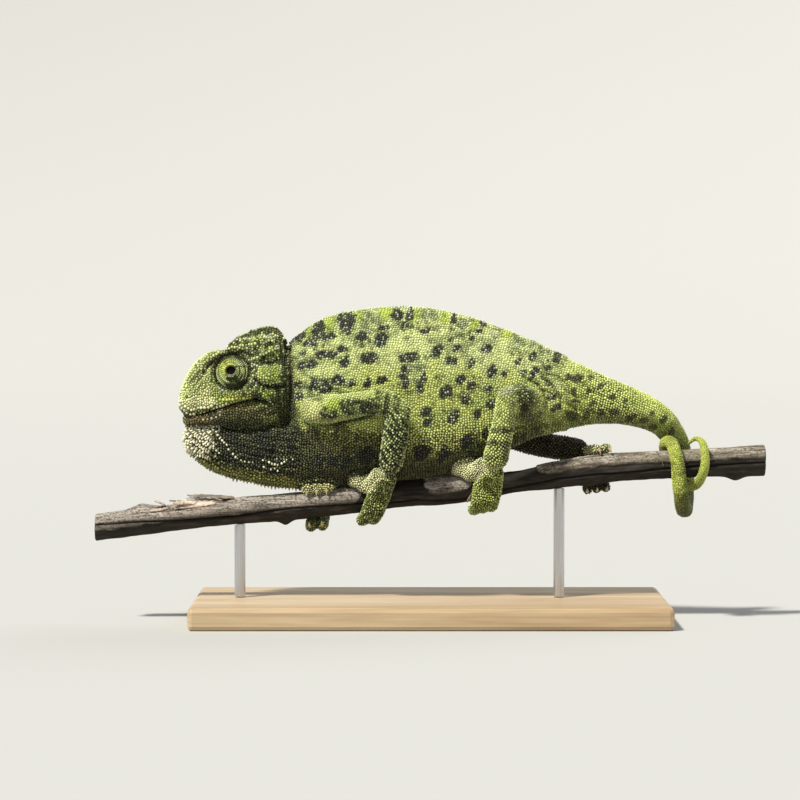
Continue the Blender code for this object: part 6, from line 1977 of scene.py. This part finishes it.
class OBJECT_OT_chameleon_eyes(ChameleonPiece, bpy.types.Operator):
    """Makes the two scaled turrets of the lids and the wet eyes inside them"""
    bl_idname = "object.chameleon_eyes"
    bl_label = "Eyes and Lids"

    def execute(self, context):
        under = bare_skin_finish()
        horny = scale_finish("lid_scales", 0.5)
        wet = eye_finish()
        for label, side in (("left", -1), ("right", 1)):
            lid, coat = make_lid(label, side, under, horny)
            self.settle(lid, "head_skin", ["eyelid_" + label])
            self.settle(coat, "head_skin")
            self.settle(make_eyeball(label, side, wet), "eye", ["eyeball_" + label])
        return {"FINISHED"}


class OBJECT_OT_chameleon_claws(ChameleonPiece, bpy.types.Operator):
    """Makes the hooked claws of the four feet"""
    bl_idname = "object.chameleon_claws"
    bl_label = "Claws"

    def execute(self, context):
        horn = horn_finish()
        for foot in ("left_hand", "right_hand", "left_foot", "right_foot"):
            nodes = [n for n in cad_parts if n.startswith(foot + "_claw")]
            self.settle(make_claws(foot, horn), "claw_horn", nodes)
        return {"FINISHED"}


class OBJECT_OT_chameleon_perch(ChameleonPiece, bpy.types.Operator):
    """Makes the weathered branch with its split and its torn bark"""
    bl_idname = "object.chameleon_perch"
    bl_label = "Perch"

    def execute(self, context):
        bark = bark_finish()
        self.settle(add_object("bark", make_perch_mesh(), bark), "weathered_wood", ["perch_branch"])
        self.settle(add_object("splinters", make_splinters(), bark), "weathered_wood")
        return {"FINISHED"}


class OBJECT_OT_chameleon_stand(ChameleonPiece, bpy.types.Operator):
    """Gives the stand's base oiled ash and its rods brushed steel"""
    bl_idname = "object.chameleon_stand"
    bl_label = "Stand Finish"

    def execute(self, context):
        steel = rod_finish()
        finishes = {"stand_base": base_finish(context.scene.chameleon_stand),
                    "stand_rod_front": steel, "stand_rod_rear": steel}
        for name, finish in finishes.items():
            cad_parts[name].material_slots[0].material = finish
        return {"FINISHED"}


class OBJECT_OT_chameleon_stage(ChameleonPiece, bpy.types.Operator):
    """Sets the plain pale floor, the soft studio lights and the camera"""
    bl_idname = "object.chameleon_stage"
    bl_label = "Stage"

    def execute(self, context):
        settings = context.scene.chameleon_stage
        add_object("floor", self.cove(), floor_finish(settings))
        self.light("key", (-0.62, -0.55, 1.15), settings.key_power, 7, (1.0, 0.97, 0.89))
        self.light("back_rim", (0.7, 0.8, 0.7), settings.key_power * 0.16, 30, (0.93, 0.96, 1.0))
        world = bpy.data.worlds.new("studio")
        world.use_nodes = True
        air = world.node_tree.nodes["Background"]
        air.inputs["Color"].default_value = (0.94, 0.97, 1.0, 1.0)
        air.inputs["Strength"].default_value = settings.fill_power
        context.scene.world = world
        context.scene.view_settings.view_transform = "Standard"
        self.camera(context, settings)
        return {"FINISHED"}

    def cove(self, flat=1900.0, bend=1500.0, steep=62.0, turns=96, rises=14):
        """A round floor whose rim curves up all round, in millimetres."""
        a = 2 * np.pi * np.arange(turns) / turns
        verts = [(0.0, 0.0, 0.0)]
        for rise in np.radians(np.linspace(0, steep, rises)):
            r, z = flat + bend * math.sin(rise), bend * (1 - math.cos(rise))
            verts += [(r * math.cos(t), r * math.sin(t), z) for t in a]
        i = np.arange(turns)
        fan = np.stack([0 * i, i + 1, (i + 1) % turns + 1], axis=-1)
        return mesh_from("floor", verts, ring_quads(rises, turns)[:, ::-1] + 1, fan)

    def light(self, name, away, power, spread, colour):
        data = bpy.data.lights.new(name, "SUN")
        data.energy = power
        data.angle = math.radians(spread)
        data.color = colour
        self.place(name, data, Vector(away))

    def place(self, name, data, back):
        """Adds a light or a camera that looks against the direction back."""
        made = add_object(name, data)
        made.rotation_mode = "QUATERNION"
        made.rotation_quaternion = back.to_track_quat("Z", "Y")
        return made

    def camera(self, context, settings):
        data = bpy.data.cameras.new("camera")
        data.lens = settings.lens
        tilt = math.radians(2.0)
        back = Vector((0, -math.cos(tilt), math.sin(tilt)))
        camera = self.place("camera", data, back)
        camera.location = Vector((-10.8, 0.0, 79.2)) * MM + back * settings.distance
        context.scene.camera = camera


class VIEW3D_PT_chameleon(bpy.types.Panel):
    """Lists the pieces of the display model and their settings"""
    bl_idname = "VIEW3D_PT_chameleon"
    bl_label = "Chameleon"
    bl_space_type = "VIEW_3D"
    bl_region_type = "UI"
    bl_category = "Chameleon"

    def draw(self, context):
        scene = context.scene
        for settings, operators in (
                (scene.chameleon_skin, ("skin", "claws")),
                (scene.chameleon_scales, ("scales", "eyes")),
                (scene.chameleon_stand, ("perch", "stand")),
                (scene.chameleon_stage, ("stage",))):
            box = self.layout.box()
            for name in settings.bl_rna.properties.keys():
                if name not in ("rna_type", "name"):
                    box.prop(settings, name)
            for name in operators:
                box.operator("object.chameleon_" + name)


GROUPS = {"chameleon_skin": ChameleonSkinSettings, "chameleon_scales": ChameleonScaleSettings,
          "chameleon_stand": ChameleonStandSettings, "chameleon_stage": ChameleonStageSettings}
CLASSES = (
    *GROUPS.values(), OBJECT_OT_chameleon_skin, OBJECT_OT_chameleon_scales, OBJECT_OT_chameleon_eyes,
    OBJECT_OT_chameleon_claws, OBJECT_OT_chameleon_perch, OBJECT_OT_chameleon_stand,
    OBJECT_OT_chameleon_stage, VIEW3D_PT_chameleon)


def register():
    for cls in CLASSES:
        bpy.utils.register_class(cls)
    for name, group in GROUPS.items():
        setattr(bpy.types.Scene, name, bpy.props.PointerProperty(type=group))


def unregister():
    for name in GROUPS:
        delattr(bpy.types.Scene, name)
    for cls in reversed(CLASSES):
        bpy.utils.unregister_class(cls)


def main():
    register()
    bpy.ops.object.chameleon_stage()
    bpy.ops.object.chameleon_stand()
    bpy.ops.object.chameleon_perch()
    bpy.ops.object.chameleon_claws()
    bpy.ops.object.chameleon_eyes()
    bpy.ops.object.chameleon_skin()
    bpy.ops.object.chameleon_scales()


if __name__ == "__main__":
    main()
